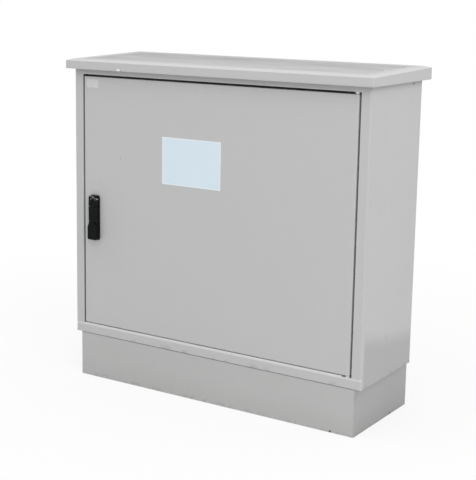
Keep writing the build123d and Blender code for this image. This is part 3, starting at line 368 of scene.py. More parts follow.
def coat_tone(finish, cloud=0.05, streaks=0.03):
    """Slow clouding, fine mottle and faint rain streaks of a powder coat."""
    slow = finish.noise(2.3, 3.0)
    fine = finish.noise(70.0)
    rain = finish.noise(1.0, 3.0, stretch=(34.0, 34.0, 0.9))
    return 1 + (slow - 0.5) * cloud + (fine - 0.5) * 0.02 + (rain - 0.5) * streaks


def coat_relief(finish):
    """Orange peel of a powder coat with a slight waviness of the sheet."""
    peel = finish.noise(620.0, 1.0)
    sheet = finish.noise(4.5, 1.0)
    return finish.relief(peel, 0.00009, finish.relief(sheet, 0.0012, strength=0.35), 0.5)


def specks(finish, scale, radius, share):
    """Small round specks in a share of the cells."""
    far, lot = finish.cells(scale)
    return finish.step(far, radius * 1.4, radius * 0.7) * (lot > (1 - share))


def housing_finish(look):
    """Light grey coat: painted shadow under the roof, painted shade in the door reveal, splash near the
    ground, painted highlights on the sill edge and seam, and a sill that is pale with dust and painted light.
    """
    f = Finish("housing_coat")
    low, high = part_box("housing_shell")
    door_low, door_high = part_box("door_panel")
    half_opening = door_high.x + DOOR_GAP + 0.5 * MM
    opening_bottom, opening_top = door_low.z - DOOR_GAP, door_high.z + DOOR_GAP
    dirt = look.dirt
    skin, reveal_depth, lip_height = 1.2 * MM, 29 * MM, 22 * MM
    tone = coat_tone(f)
    # Painted shadow under the roof's skirt, mottled and set by the dirt strength; the coat there is also made
    # rougher.
    roof_shadow = f.step(f.z, high.z - 44 * MM, high.z - 18 * MM) * f.noise(14.0, 3.0)
    patch_edge = f.z + (f.y - low.y) * 0.15 + (f.noise(6.0, 3.0) - 0.5) * 0.04
    splash = f.step(patch_edge, low.z + 0.165, low.z + 0.105) * (abs(f.x) > high.x - skin)
    splash = splash * f.step(f.y, low.y + 8 * MM, low.y + 18 * MM)
    front = f.y < low.y + skin
    # Painted highlight: a lighter copy of the coat along the sill's front edge, and along the seam at that
    # height on the right stile.
    sill_edge_highlight = f.step(abs(f.z - (opening_bottom - 1.4 * MM)), 3.6 * MM, 1.6 * MM) * (f.y < low.y + 4 * MM)
    seam = f.step(abs(f.z - (opening_bottom - 0.6 * MM)), 1.6 * MM, 0.8 * MM) * front * (f.x > half_opening)
    colour = f.shade(look.coat, tone - roof_shadow * (0.10 * dirt) - splash * (0.20 * dirt))
    colour = f.mix(sill_edge_highlight.at_least(seam) * 0.7, colour, [c * 1.34 for c in look.coat])
    # Mottling for the grime at the foot, the painted shade in the reveal and the painted light on the sill.
    shade_and_grime = f.noise(30.0, 4.0)
    foot = f.step(f.z, low.z + 16 * MM, low.z) * f.step(shade_and_grime, 0.5, 0.68) * dirt
    colour = f.mix(foot * 0.35, colour, (0.20, 0.195, 0.18))
    colour = f.mix(specks(f, 9.0, 0.012, 0.35) * (0.45 * dirt), colour, (0.24, 0.23, 0.21))
    rear_edge = high.y - 1 * MM
    # Dark chips at the rear right corner and the front left foot; the spot just under the roof's skirt at the
    # rear right is painted shadow.
    chips = f.spots(((high.x, rear_edge, low.z + 5 * MM), 6 * MM, 0.4, 1.2),
                    ((high.x, rear_edge, high.z - 21 * MM), 6 * MM, 0.4, 1.2))
    chips = chips.at_least(f.spot((low.x, low.y, low.z), 6 * MM, 0.5, 1.3) * 0.7)
    side_mark = f.spot((high.x, -12 * MM, low.z + 0.117), 2.6 * MM, 0.5, 0.9)
    colour = f.mix(side_mark * 0.5, colour, (0.22, 0.215, 0.20))
    colour = f.mix(chips, colour, (0.05, 0.05, 0.045))
    # Painted shade, nearly black, in the reveal of the door opening at the top and on the handle side; the
    # sill and the hinge side are left out.
    inside = (abs(f.x) < half_opening) * (f.z > opening_bottom - 0.5 * MM) * (f.z < opening_top + 0.5 * MM)
    reveal = inside * f.step(f.y, low.y + 1.5 * MM, low.y + 12 * MM) * (f.y < low.y + reveal_depth)
    sill = inside * (f.z < opening_bottom + lip_height) * (abs(f.x) < half_opening - 1 * MM)
    handle_side = f.step(f.x, half_opening - 4 * MM, half_opening - 8 * MM)
    colour = f.mix(reveal * (1 - sill) * handle_side * (0.72 + shade_and_grime * 0.3), colour, (0.022, 0.022, 0.021))
    # Pale dust and painted light on the sill: paler deeper in the gap, so the gap under the door reads light.
    dust = f.mix(f.step(f.y, low.y + 2 * MM, low.y + 6 * MM), (0.65, 0.65, 0.64), (0.86, 0.86, 0.84))
    colour = f.mix(sill * (0.82 + shade_and_grime * 0.18), colour, dust)
    return f.close(colour, Roughness=0.46 + (f.noise(9.0) - 0.5) * 0.10 + roof_shadow * 0.1,
                   Normal=coat_relief(f))


def door_finish(look):
    """Light grey coat of the door leaf: hand marks round the handle, painted shade on the flanges and near
    the top, painted highlight round the edge, painted light on the bottom flange.
    """
    f = Finish("door_coat")
    low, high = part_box("door_panel")
    grip = mid("handle_base")
    tone = coat_tone(f, 0.035, 0.02)
    hand = f.spot((grip.x + 20 * MM, low.y, grip.z - 20 * MM), 0.11, 0.8, 0.5) * f.noise(22.0, 3.0)
    # Painted shade: the leaf is made slightly darker within 40 mm of its top, under the roof.
    top_edge = f.step(f.z, high.z - 40 * MM, high.z)
    colour = f.shade(look.coat, tone - hand * (0.05 * look.dirt) - top_edge * 0.012)
    inset = f.inset(low, high)
    # Painted highlight: a lighter copy of the coat round the door's edge and on its flanges.
    rim = f.step(inset, 2.6 * MM, 0.4 * MM)
    colour = f.mix(rim * 0.25, colour, [c * 1.25 for c in look.coat])
    mark = f.spot((-0.325, low.y, 0.704), 1.7 * MM, 0.4, 0.8)
    colour = f.mix(mark * 0.8, colour, (0.10, 0.095, 0.09))
    colour = f.mix(specks(f, 8.0, 0.010, 0.3) * (0.4 * look.dirt), colour, (0.26, 0.25, 0.23))
    # Painted shade, nearly black, on the door's flanges: most on the top flange, less on the hinge side, none
    # on the underside.
    flange = (inset < 0.6 * MM) * f.step(f.y, low.y + 1.5 * MM, low.y + 7 * MM)
    sideways, _, upward = f.parts(f.facing)
    hinge_side = f.step(sideways, 0.4, 0.8) * 0.75
    underside = f.step(upward, -0.4, -0.8)
    shade_and_grime = 0.75 + f.step(upward, 0.4, 0.8) * 0.24 - hinge_side - underside * 0.75
    colour = f.mix(flange * shade_and_grime, colour, (0.018, 0.018, 0.017))
    # Painted light: the downward flange is painted pale so the gap under the door reads light.
    colour = f.mix(flange * underside * 0.8, colour, (0.80, 0.80, 0.78))
    return f.close(colour, Roughness=0.44 + (f.noise(7.0) - 0.5) * 0.10 - hand * 0.06,
                   Normal=coat_relief(f))


def roof_finish(look):
    """Light grey coat of the roof: painted highlight on the shoulders, stained tray, bird marks, painted
    shadow at the rear right corner.
    """
    f = Finish("roof_coat")
    low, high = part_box("roof")
    dirt = look.dirt
    tone = coat_tone(f, 0.05, 0.02)
    inset = f.inset(low, high, "xy")
    roof_fall, rear_shoulder, rim_drop = 9 * MM, 18 * MM, 5.6 * MM
    fall = roof_fall / (high.y - low.y)
    above = f.z - f.y * fall > high.z - (high.y - rear_shoulder) * fall - rim_drop
    shoulder = above * f.step(inset, 22 * MM, 16 * MM)
    tray = f.step(inset, 38 * MM, 52 * MM) * above
    stain = f.step(f.noise(3.2, 4.0, stretch=(1.0, 3.4, 1.0)), 0.38, 0.68)
    pools = f.step(f.noise(11.0, 4.0, stretch=(0.5, 1.6, 1.0), blur=0.6), 0.45, 0.72)
    to_rear = f.step(f.y, low.y + 0.10, high.y - 0.05)
    rim_line = f.step(abs(inset - 46 * MM), 9 * MM, 2 * MM) * above
    dust = (tray * (0.10 + stain * 0.13 + pools * 0.07) * (0.5 + to_rear * 0.5) + rim_line * 0.05) * dirt
    colour = f.shade(look.coat, tone - dust)
    # Painted highlight on the shoulders: a lighter copy of the coat.
    colour = f.mix(shoulder * 0.65, colour, [c * 1.24 for c in look.coat])
    hem = f.step(f.z, low.z + 5 * MM, low.z) * f.noise(18.0, 3.0)
    colour = f.mix(hem * (0.28 * dirt), colour, (0.30, 0.295, 0.28))
    colour = f.mix(specks(f, 16.0, 0.03, 0.3) * tray * (0.4 * dirt), colour, (0.22, 0.21, 0.19))
    droppings = f.spot((0.444, 0.035, high.z - 8 * MM), 5.5 * MM, 0.35, 1.0)
    edge_mark = f.spot((-0.314, low.y, low.z + 2.0 * MM), 5.5 * MM, 0.35, 0.9)
    colour = f.mix(droppings.at_least(edge_mark), colour, (0.76, 0.76, 0.74))
    # Painted shadow at the rear right lower corner of the roof's skirt.
    rear_corner_shadow = f.spot((high.x, high.y, low.z + 2 * MM), 5 * MM, 0.4, 1.0)
    colour = f.mix(rear_corner_shadow * 0.7, colour, (0.07, 0.07, 0.065))
    brown = f.spot((-0.306, low.y, low.z + 0.6 * MM), 2.6 * MM, 0.5, 0.8)
    colour = f.mix(brown * 0.8, colour, (0.20, 0.15, 0.09))
    return f.close(colour, Roughness=0.44 + dust * 1.4 + (f.noise(9.0) - 0.5) * 0.08,
                   Normal=coat_relief(f))


def plinth_finish(look):
    """Plinth coat with splashed dirt from the ground, and painted shade that makes the right side darker."""
    f = Finish("plinth_coat")
    low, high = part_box("plinth_frame")
    dirt = look.dirt
    tone = coat_tone(f, 0.05, 0.03)
    ragged = f.z + (f.noise(6.0, 4.0) - 0.5) * 0.07
    splash = f.step(ragged, 0.085, 0.0)
    grain = f.step(f.noise(90.0, 4.0, blur=0.65), 0.40, 0.66)
    # Painted shade: the right side is made darker than the front.
    side = f.step(f.x, high.x - 6 * MM, high.x - 1 * MM)
    colour = f.shade(look.plinth, tone - side * 0.185 - splash * (0.02 * dirt))
    colour = f.mix(splash * grain * (0.06 * dirt), colour, (0.19, 0.175, 0.15))
    soil = f.step(f.z + (f.noise(24.0, 4.0) - 0.5) * 0.03, 0.014, 0.0) * grain
    colour = f.mix(soil * (0.25 * dirt), colour, (0.13, 0.115, 0.095))
    stains = side * f.step(f.noise(16.0, 4.0), 0.58, 0.72)
    colour = f.mix(stains * (0.22 * dirt), colour, (0.21, 0.205, 0.195))
    chips = f.spots(((high.x, high.y - 1 * MM, 0.078), 4.5 * MM, 0.5, 1.4),
                    ((high.x, high.y, 0.037), 7.0 * MM, 0.5, 1.6),
                    ((high.x, high.y - 0.11, 0.004), 4.0 * MM, 0.4, 1.4),
                    ((0.41, low.y, 0.003), 4.0 * MM, 0.4, 1.4))
    colour = f.mix(chips * 0.9, colour, (0.06, 0.055, 0.05))
    return f.close(colour, Roughness=0.52 + splash * 0.2, Normal=coat_relief(f))


def galvanised_finish():
    """Galvanised sheet with its spangle."""
    f = Finish("galvanised_sheet")
    _, flake = f.cells(85.0)
    _, patch = f.cells(30.0)
    drawn = f.noise(1.0, 2.0, stretch=(260.0, 260.0, 6.0))
    tone = 0.90 + flake * 0.10 + patch * 0.05 + (drawn - 0.5) * 0.05
    white_rust = f.step(f.noise(8.0, 4.0), 0.60, 0.75)
    colour = f.mix(white_rust * 0.15, f.shade((0.53, 0.54, 0.545), tone), (0.60, 0.60, 0.58))
    return f.close(colour, Metallic=0.85 - white_rust * 0.15,
                   Roughness=0.36 + flake * 0.12 + white_rust * 0.1,
                   Normal=f.relief(f.noise(300.0, 1.0), 0.00006))


def zinc_finish(name, colour, brushed=(220.0, 220.0, 12.0), rough=0.30):
    """Zinc plated steel with fine drawing marks."""
    f = Finish(name)
    drawn = f.noise(1.0, 3.0, stretch=brushed)
    clouds = f.noise(26.0, 3.0)
    tarnish = f.step(f.noise(40.0, 4.0), 0.55, 0.75)
    tone = 0.90 + clouds * 0.16 + (drawn - 0.5) * 0.10
    coat = f.mix(tarnish * 0.3, f.shade(colour, tone), (0.36, 0.33, 0.26))
    return f.close(coat, Metallic=1.0, Roughness=rough + clouds * 0.12 + tarnish * 0.15,
                   Normal=f.relief(drawn, 0.00005))


def rubber_finish():
    """Black sealing rubber with a dusty bloom."""
    f = Finish("seal_rubber")
    dust = f.step(f.noise(35.0, 4.0), 0.45, 0.75)
    colour = f.mix(dust * 0.35, (0.014, 0.014, 0.014), (0.075, 0.072, 0.066))
    return f.close(colour, Roughness=0.78 + dust * 0.12,
                   Normal=f.relief(f.noise(700.0), 0.00008))


def strip_finish():
    """Sealing strip under the housing: dusty, with dark gaps where the dust has fallen out."""
    f = Finish("joint_strip")
    dark = f.step(f.noise(1.0, 2.0, stretch=(16.0, 16.0, 1.0)), 0.60, 0.66)
    colour = f.mix(dark, f.shade((0.17, 0.168, 0.16), 0.8 + f.noise(60.0, 3.0) * 0.4), (0.012, 0.012, 0.012))
    return f.close(colour, Roughness=0.86 - dark * 0.08,
                   Normal=f.relief(f.noise(700.0), 0.00008))


def moulded_finish(name, colour, rough=0.48, grain=900.0, gloss=0.5):
    """Moulded plastic with a fine spark-eroded grain and some dust."""
    f = Finish(name)
    dust = f.step(f.noise(28.0, 4.0), 0.50, 0.80)
    slow = f.noise(12.0)
    shaded = f.shade(colour, 0.9 + slow * 0.2)
    dusty = f.mix(dust * 0.12, shaded, [min(1.0, c + 0.04) for c in colour])
    return f.close(dusty, Roughness=rough + (slow - 0.5) * 0.1 + dust * 0.08,
                   Specular_IOR_Level=gloss, Normal=f.relief(f.noise(grain), 0.00006))


def handle_finish(look):
    """Black coat of the swing handle, with a painted highlight round the pivot and lighter patches along its
    edges.
    """
    f = Finish("handle_coat")
    hub = mid("handle_rotor")
    base_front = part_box("handle_base")[0].y
    lever_low, lever_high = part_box("handle_lever")
    across, along = f.x - hub.x, f.z - hub.z
    # Painted highlight round the pivot: a slanting rim and a ring, broken by streaks, on the outside only.
    highlight_streaks = f.step(f.noise(1.0, 4.0, stretch=(90.0, 40.0, 330.0)), 0.50, 0.66)
    wander = (f.noise(140.0, 3.0) - 0.5) * (7 * MM)
    slant = along + across * 0.35 + wander
    rim = f.step(abs(slant - 13.2 * MM), 2.4 * MM, 0.6 * MM)
    ring = f.step(abs(f.around(hub) + wander * 0.6 - 9.5 * MM), 1.3 * MM, 0.4 * MM) * (along > 2 * MM)
    outside = f.y < base_front - 3 * MM
    pivot_highlight = rim.at_least(ring * 0.6) * (0.25 + highlight_streaks * 0.75) * outside
    sides = (f.x - lever_low.x).at_most(lever_high.x - f.x)
    edge = f.step(sides, 2.6 * MM, 0.6 * MM) * f.step(f.noise(60.0, 4.0), 0.42, 0.70) * outside
    notch = f.spot((lever_low.x + 2.2 * MM, lever_low.y, lever_low.z + 58 * MM), 2.6 * MM, 0.6, 1.4)
    dust = f.step(f.noise(45.0, 4.0), 0.46, 0.80)
    slow = f.noise(30.0, 3.0)
    colour = f.shade(look.handle, 0.75 + slow * 0.5)
    colour = f.mix(dust * (0.10 * look.dirt), colour, (0.035, 0.037, 0.035))
    colour = f.mix(edge * 0.25, colour, (0.04, 0.042, 0.04))
    colour = f.mix(pivot_highlight * 0.95, colour, (0.62, 0.625, 0.62))
    colour = f.mix(notch * 0.8, colour, (0.16, 0.165, 0.165))
    grain = f.noise(850.0)
    return f.close(colour, Roughness=0.40 + dust * 0.12 + slow * 0.08, Specular_IOR_Level=0.08,
                   Normal=f.relief(grain, 0.00008))


def lock_finish():
    """Nickel-brass of the lock cylinder, turned on its face."""
    f = Finish("lock_cylinder_metal")
    turning_marks = 26000.0
    rings = (f.around(mid("lock_cylinder")) * turning_marks).sine()
    worn = f.noise(160.0, 3.0)
    colour = f.mix(worn * 0.6, (0.62, 0.56, 0.36), (0.66, 0.64, 0.56))
    return f.close(colour, Metallic=1.0, Roughness=0.24 + worn * 0.18,
                   Normal=f.relief(rings, 0.00002))


def label_finish(look, low, high):
    """Bare film: pale blue field with a whiter border and a few trapped bubbles."""
    f = Finish("label_film")
    inset = f.inset(low, high)
    border = f.step(inset, 4.2 * MM, 2.8 * MM)
    fade = f.noise(9.0, 3.0)
    field = f.shade(look.label, 0.97 + fade * 0.07)
    colour = f.mix(border, field, (0.73, 0.785, 0.82))
    lift = f.step(inset, 1.0 * MM, 0.2 * MM)
    colour = f.mix(lift * 0.3, colour, (0.42, 0.43, 0.42))
    bubbles = specks(f, 26.0, 0.12, 0.12)
    ripple = f.noise(18.0)
    return f.close(colour, Roughness=0.30 + fade * 0.12,
                   Normal=f.relief(bubbles, 0.0002, f.relief(ripple, 0.0006, strength=0.4)))


def plate_finish():
    """Bare small plate with a pressed border line."""
    f = Finish("small_plate")
    inset = f.inset(*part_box("maker_plate"))
    line = f.step(abs(inset - 2.4 * MM), 0.9 * MM, 0.3 * MM)
    drawn = f.noise(1.0, 2.0, stretch=(12.0, 300.0, 700.0))
    worn = f.noise(60.0, 3.0)
    colour = f.shade((0.575, 0.58, 0.57), 0.94 + drawn * 0.05 + worn * 0.08)
    colour = f.mix(line * 0.5, colour, (0.68, 0.685, 0.67))
    return f.close(colour, Metallic=0.15, Roughness=0.40 + worn * 0.12,
                   Normal=f.relief(line, 0.0003, f.relief(drawn, 0.00003)))


def pipe_finish(look):
    """Yellow gas pipe paint, brushed on, dusty on top and scraped near the fittings."""
    f = Finish("pipe_paint")
    brush = f.noise(1.0, 3.0, stretch=(170.0, 170.0, 9.0))
    slow = f.noise(9.0, 3.0)
    _, _, upward = f.parts(f.facing)
    dust = f.step(upward, 0.2, 0.9) * f.noise(24.0, 3.0)
    scraped = f.step(f.noise(30.0, 5.0, blur=0.62), 0.66, 0.72)
    colour = f.shade(look.pipe, 0.88 + slow * 0.18 + (brush - 0.5) * 0.10)
    colour = f.mix(dust * (0.35 * look.dirt), colour, (0.36, 0.33, 0.24))
    colour = f.mix(scraped * 0.7, colour, (0.16, 0.13, 0.10))
    return f.close(colour, Roughness=0.34 + dust * 0.3 + (brush - 0.5) * 0.12 + scraped * 0.2,
                   Normal=f.relief(brush, 0.00025))


def cast_finish(name, colour, metal=1.0, rough=0.36):
    """Cast metal skin: sandy grain, tarnish in patches."""
    f = Finish(name)
    sand = f.noise(420.0)
    slow = f.noise(18.0, 4.0)
    tarnish = f.step(slow, 0.48, 0.72)
    skin = f.mix(tarnish * 0.45, f.shade(colour, 0.86 + slow * 0.22), [c * 0.55 for c in colour])
    return f.close(skin, Metallic=metal, Roughness=rough + tarnish * 0.16 + (sand - 0.5) * 0.1,
                   Normal=f.relief(sand, 0.00022))


def lever_finish():
    """Yellow dipped sleeve on the valve levers."""
    f = Finish("lever_sleeve")
    slow = f.noise(20.0, 3.0)
    rubbed = f.step(f.noise(55.0, 4.0), 0.55, 0.75)
    colour = f.mix(rubbed * 0.35, f.shade((0.72, 0.46, 0.015), 0.9 + slow * 0.2), (0.40, 0.29, 0.05))
    return f.close(colour, Roughness=0.42 + rubbed * 0.2,
                   Normal=f.relief(f.noise(260.0), 0.0001))


def meter_finish():
    """Pale enamel of the meter case, dusty on its shoulders."""
    f = Finish("meter_enamel")
    _, _, upward = f.parts(f.facing)
    dust = f.step(upward, 0.1, 0.9) * (0.4 + f.noise(16.0, 4.0) * 0.6)
    slow = f.noise(5.0, 3.0)
    colour = f.shade((0.60, 0.605, 0.585), 0.96 + slow * 0.08)
    colour = f.mix(dust * 0.35, colour, (0.36, 0.345, 0.31))
    colour = f.mix(specks(f, 22.0, 0.03, 0.2) * 0.4, colour, (0.25, 0.24, 0.22))
    return f.close(colour, Roughness=0.33 + dust * 0.3,
                   Normal=f.relief(f.noise(420.0, 1.0), 0.00008))


def window_finish():
    """Clear moulded window over the counter, with a faint haze."""
    f = Finish("counter_window")
    haze = f.noise(40.0, 3.0)
    return f.close((0.93, 0.95, 0.95, 1.0), Roughness=0.04 + haze * 0.08, Alpha=0.10 + haze * 0.10,
                   Specular_IOR_Level=0.5)


class CabinetOperator(bpy.types.Operator):
    """Common ground of the cabinet's operators."""

    bl_options = {"REGISTER", "UNDO"}

    def finish_nodes(self, rows):
        """Gives CAD nodes their finishes."""
        for material, nodes in rows:
            for node in nodes:
                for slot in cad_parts[node].material_slots:
                    slot.material = material


class CABINET_OT_housing(CabinetOperator):
    """Coats the housing, the roof, the door and the plinth"""

    bl_idname = "cabinet.housing"
    bl_label = "Coat the housing"

    def execute(self, context):
        look = context.scene.cabinet_finish
        coat = housing_finish(look)
        self.finish_nodes([
            (coat, ["housing_shell"]),
            (door_finish(look), ["door_panel"]),
            (roof_finish(look), ["roof"]),
            (plinth_finish(look), ["plinth_frame"]),
            (plate_finish(), ["maker_plate"]),
        ])
        self.lay_bead(coat)
        self.lay_film(look, context.scene.cabinet_fixings)
        return {"FINISHED"}

    def lay_bead(self, coat):
        """A low bead on the sill, which narrows the gap under the door."""
        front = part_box("housing_shell")[0].y
        low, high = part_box("door_panel")
        sill = low.z - DOOR_GAP
        setback, depth, height, sunk, edge = 1.2 * MM, 15.8 * MM, 3 * MM, 0.6 * MM, 1 * MM
        left_reach, pin_room = 4 * MM, 26 * MM
        bead = [(Vector((low.x - left_reach, front + setback, sill - sunk)),
                 Vector((high.x - pin_room, front + setback + depth, sill + height)))]
        new_piece("sill_bead", block_mesh("sill_bead", bead, edge), "cabinet", coat)

    def lay_film(self, look, sizes):
        """The bare film in the label place."""
        low, high = film_corners(sizes)
        corner = 2 * MM
        film = new_piece("label_film", film_mesh(low, high, corner), "door",
                         label_finish(look, low, high))
        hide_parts("label_plate")


class CABINET_OT_sheetwork(CabinetOperator):
    """Finishes the inner sheets, bolts, hinges and seals"""

    bl_idname = "cabinet.sheetwork"
    bl_label = "Finish the sheetwork"

    def execute(self, context):
        self.finish_nodes([
            (galvanised_finish(),
             ["back_panel", "floor_plate", "top_plate", "door_stiffener_left", "door_stiffener_right",
              "rail_lower", "rail_upper", "meter_shelf", "lock_case", "lock_cover"]),
            (zinc_finish("zinc_plate", (0.60, 0.60, 0.58)),
             ["base_bolts", "roof_spacers", "roof_bolts", "hinge_blocks", "hinge_pins", "handle_screws",
              "upper_rod", "lower_rod", "lift_pin", "clamp_rods", "pipe_clamps"]),
            (zinc_finish("cut_steel", (0.50, 0.50, 0.50), (40.0, 300.0, 40.0), 0.26), ["lock_pinion"]),
            (strip_finish(), ["plinth_seal"]),
            (rubber_finish(), ["door_gasket", "pipe_grommets"]),
            (moulded_finish("guide_moulding", (0.022, 0.022, 0.023)), ["rod_guides", "regulator_cap"]),
            (moulded_finish("bush_moulding", (0.62, 0.62, 0.60), 0.40), ["hinge_bushes"]),
        ])
        return {"FINISHED"}


class CABINET_OT_handle(CabinetOperator):
    """Finishes the swing handle and its lock"""

    bl_idname = "cabinet.handle"
    bl_label = "Finish the handle"

    def execute(self, context):
        look = context.scene.cabinet_finish
        coat = handle_finish(look)
        self.finish_nodes([
            (coat, ["handle_base", "handle_rotor", "handle_lever"]),
            (moulded_finish("key_cover_moulding", tuple(look.handle), 0.40, 700.0, 0.08), ["key_cover"]),
            (lock_finish(), ["lock_cylinder", "key_plug"]),
        ])
        low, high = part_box("handle_rotor")
        lever_low, lever_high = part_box("handle_lever")
        front, back = lever_low.y - 0.05 * MM, lever_high.y - 0.1 * MM
        width, height, parting, edge = 7.5 * MM, 9 * MM, 1.2 * MM, 1.4 * MM
        seam = low.z - parting
        for name, bottom, top, body in (("rotor_shoulders", low.z, low.z + height, "rotor"),
                                        ("lever_shoulders", seam - height, seam, "lever")):
            blocks = [(Vector((start, front, bottom)), Vector((start + width, back, top)))
                      for start in (low.x, high.x - width)]
            new_piece(name, block_mesh(name, blocks, edge), body, coat)
        return {"FINISHED"}


class CABINET_OT_gas_set(CabinetOperator):
    """Finishes the pipes, valves, regulator and meter"""

    bl_idname = "cabinet.gas_set"
    bl_label = "Finish the gas set"

    def execute(self, context):
        look = context.scene.cabinet_finish
        self.finish_nodes([
            (pipe_finish(look), ["inlet_riser", "outlet_riser", "inlet_nipple", "inlet_bend", "outlet_bend"]),
            (cast_finish("valve_brass", (0.66, 0.47, 0.19)),
             ["inlet_valve_body", "outlet_valve_body", "meter_unions"]),
            (zinc_finish("stem_steel", (0.55, 0.55, 0.54), (200.0, 14.0, 200.0)),
             ["inlet_valve_stem", "outlet_valve_stem"]),
            (lever_finish(), ["inlet_valve_lever", "outlet_valve_lever"]),
            (cast_finish("regulator_casting", (0.50, 0.51, 0.52), 0.9, 0.42),
             ["regulator_body", "regulator_cover"]),
            (meter_finish(), ["meter_lower_case", "meter_upper_case"]),
            (zinc_finish("band_steel", (0.52, 0.52, 0.51), (14.0, 14.0, 260.0)), ["meter_band"]),
            (moulded_finish("counter_case", (0.03, 0.03, 0.032)), ["index_housing"]),
            (moulded_finish("counter_plate", (0.74, 0.74, 0.71), 0.5, 400.0), ["index_face"]),
            (window_finish(), ["index_window"]),
        ])
        return {"FINISHED"}


def set_on(graph, places, piece):
    """Puts a copy of a piece on each place."""
    return graph.value("GeometryNodeInstanceOnPoints", None, {0: places, "Instance": piece})


def rivet_row(graph, given):
    """Domed rivets along a rectangle."""
    outline = graph.value("GeometryNodeCurvePrimitiveQuadrilateral", None,
                          {"Width": given["Width"], "Height": given["Height"]})
    places = graph.value("GeometryNodeResampleCurve", {"mode": "LENGTH"},
                         {"Curve": outline, "Length": given["Spacing"]})
    ball = graph.value("GeometryNodeMeshUVSphere", None,
                       {"Segments": 16, "Rings": 8, "Radius": given["Radius"]})
    flatness = 0.42
    dome = graph.value("GeometryNodeTransform", None, {0: ball, "Scale": (1.0, 1.0, flatness)})
    return set_on(graph, places, graph.value("GeometryNodeSetShadeSmooth", None, {0: dome}))


def hexagon_screw(graph, given):
    """Hexagon head, shank and the nut on the far side, along Z."""
    shapes = graph.node("GeometryNodeJoinGeometry")
    screw, grip = given["Screw"], given["Grip"]
    head_share, hexagon, shank = 0.42, 0.577, 0.30
    head = screw * head_share
    for corners, radius, length, level in (
        (6, hexagon, head, 0.5),
        (12, shank, grip + screw, 0.0),
        (6, hexagon, head, -0.5),
    ):
        rod = graph.value("GeometryNodeMeshCylinder", {"fill_type": "NGON"},
                          {"Vertices": corners, "Radius": screw * radius, "Depth": length})
        place = graph.value("ShaderNodeCombineXYZ", None, {2: (grip + head) * level})
        placed = graph.value("GeometryNodeTransform", None, {0: rod, "Translation": place})
        graph.feed(shapes.inputs[0], placed)
    return shapes.outputs[0]


def screw_ring(graph, given):
    """Screws round a flange."""
    circle = graph.value("GeometryNodeCurvePrimitiveCircle", None,
                         {"Resolution": given["Count"], "Radius": given["Ring"]})
    return set_on(graph, circle, hexagon_screw(graph, given))


def screw_pairs(graph, given):
    """Two screws at each corner of a rectangle."""
    corners, pair = [
        graph.value("GeometryNodeMeshGrid", None,
                    {"Size X": width, "Size Y": height, "Vertices X": 2, "Vertices Y": 2})
        for width, height in ((given["Width"], given["Height"]), (given["Pair"], 0.0))]
    pair = graph.value("GeometryNodeMergeByDistance", None, {0: pair, "Distance": 1 * MM})
    places = graph.value("GeometryNodeRealizeInstances", None, {0: set_on(graph, corners, pair)})
    return set_on(graph, places, hexagon_screw(graph, given))


class CABINET_OT_fixings(CabinetOperator):
    """Sets the rivets of the back panel and the screws of regulator and pipe clamps"""

    bl_idname = "cabinet.fixings"
    bl_label = "Set the fixings"

    def execute(self, context):
        sizes = context.scene.cabinet_fixings
        steel = zinc_finish("screw_zinc", (0.58, 0.57, 0.53))
        rivet = zinc_finish("rivet_alloy", (0.56, 0.57, 0.58), (300.0, 300.0, 300.0), 0.34)
        rivet_inset, flange, bolt_circle, ear_inset, clamp_grip = 7 * MM, 4 * MM, 65.5 * MM, 7 * MM, 12 * MM
        low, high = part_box("back_panel")
        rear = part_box("housing_shell")[1].y
        across = Matrix.Rotation(math.pi / 2, 4, "X")
        grown_piece(
            "back_rivets", rivet_row,
            {"Width": high.x - low.x - 2 * rivet_inset, "Height": high.z - low.z - 2 * rivet_inset,
             "Spacing": sizes.rivet_spacing, "Radius": sizes.rivet_diameter / 2},
            rivet, "cabinet", Matrix.Translation((0.0, rear, (low.z + high.z) / 2)) @ across)
        hub = mid("regulator_body")
        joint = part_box("regulator_body")[0].x
        grown_piece(
            "regulator_screws", screw_ring,
            {"Count": sizes.flange_screws, "Ring": bolt_circle, "Screw": sizes.screw_width,
             "Grip": 2 * flange},
            steel, "cabinet",
            Matrix.Translation((joint, hub.y, hub.z)) @ Matrix.Rotation(math.pi / 2, 4, "Y"))
        pipe = mid("outlet_riser")
        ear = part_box("pipe_clamps")[1].x - pipe.x - ear_inset
        lower, upper = mid("rail_lower").z, mid("rail_upper").z
        grown_piece(
            "clamp_screws", screw_pairs,
            {"Width": 2 * pipe.x, "Height": upper - lower, "Pair": 2 * ear, "Screw": sizes.screw_width,
             "Grip": clamp_grip},
            steel, "cabinet", Matrix.Translation((0.0, pipe.y, (lower + upper) / 2)) @ across)
        return {"FINISHED"}


def counter_wheels(wheels, pitch, radius, reach, arc):
    """Front arcs of the number wheels, side by side along X, as closed segments."""
    shape = bmesh.new()
    half, steps = pitch * 0.44, 14
    angles = [math.radians(-arc + 2 * arc * n / steps) for n in range(steps + 1)]
    for wheel in range(wheels):
        x = (wheel - (wheels - 1) / 2) * pitch
        left, right = [[shape.verts.new((end, -radius * math.cos(a) + radius - reach, radius * math.sin(a)))
                        for a in angles] for end in (x - half, x + half)]
        for n in range(steps):
            shape.faces.new((left[n], right[n], right[n + 1], left[n + 1]))
        shape.faces.new(list(reversed(left)))
        shape.faces.new(right)
        shape.faces.new((left[-1], right[-1], right[0], left[0]))
    return kept_mesh("counter_wheels", shape)


def digit_mesh(text, height):
    """Flat mesh of one number, centred on its own middle."""
    curve = bpy.data.curves.new("digit", "FONT")
    curve.body = text
    font_share = 1.4
    curve.size = height * font_share
    curve.align_x = curve.align_y = "CENTER"
    mesh = plain_mesh(new_object("digit", curve))
    bpy.data.curves.remove(curve)
    return mesh


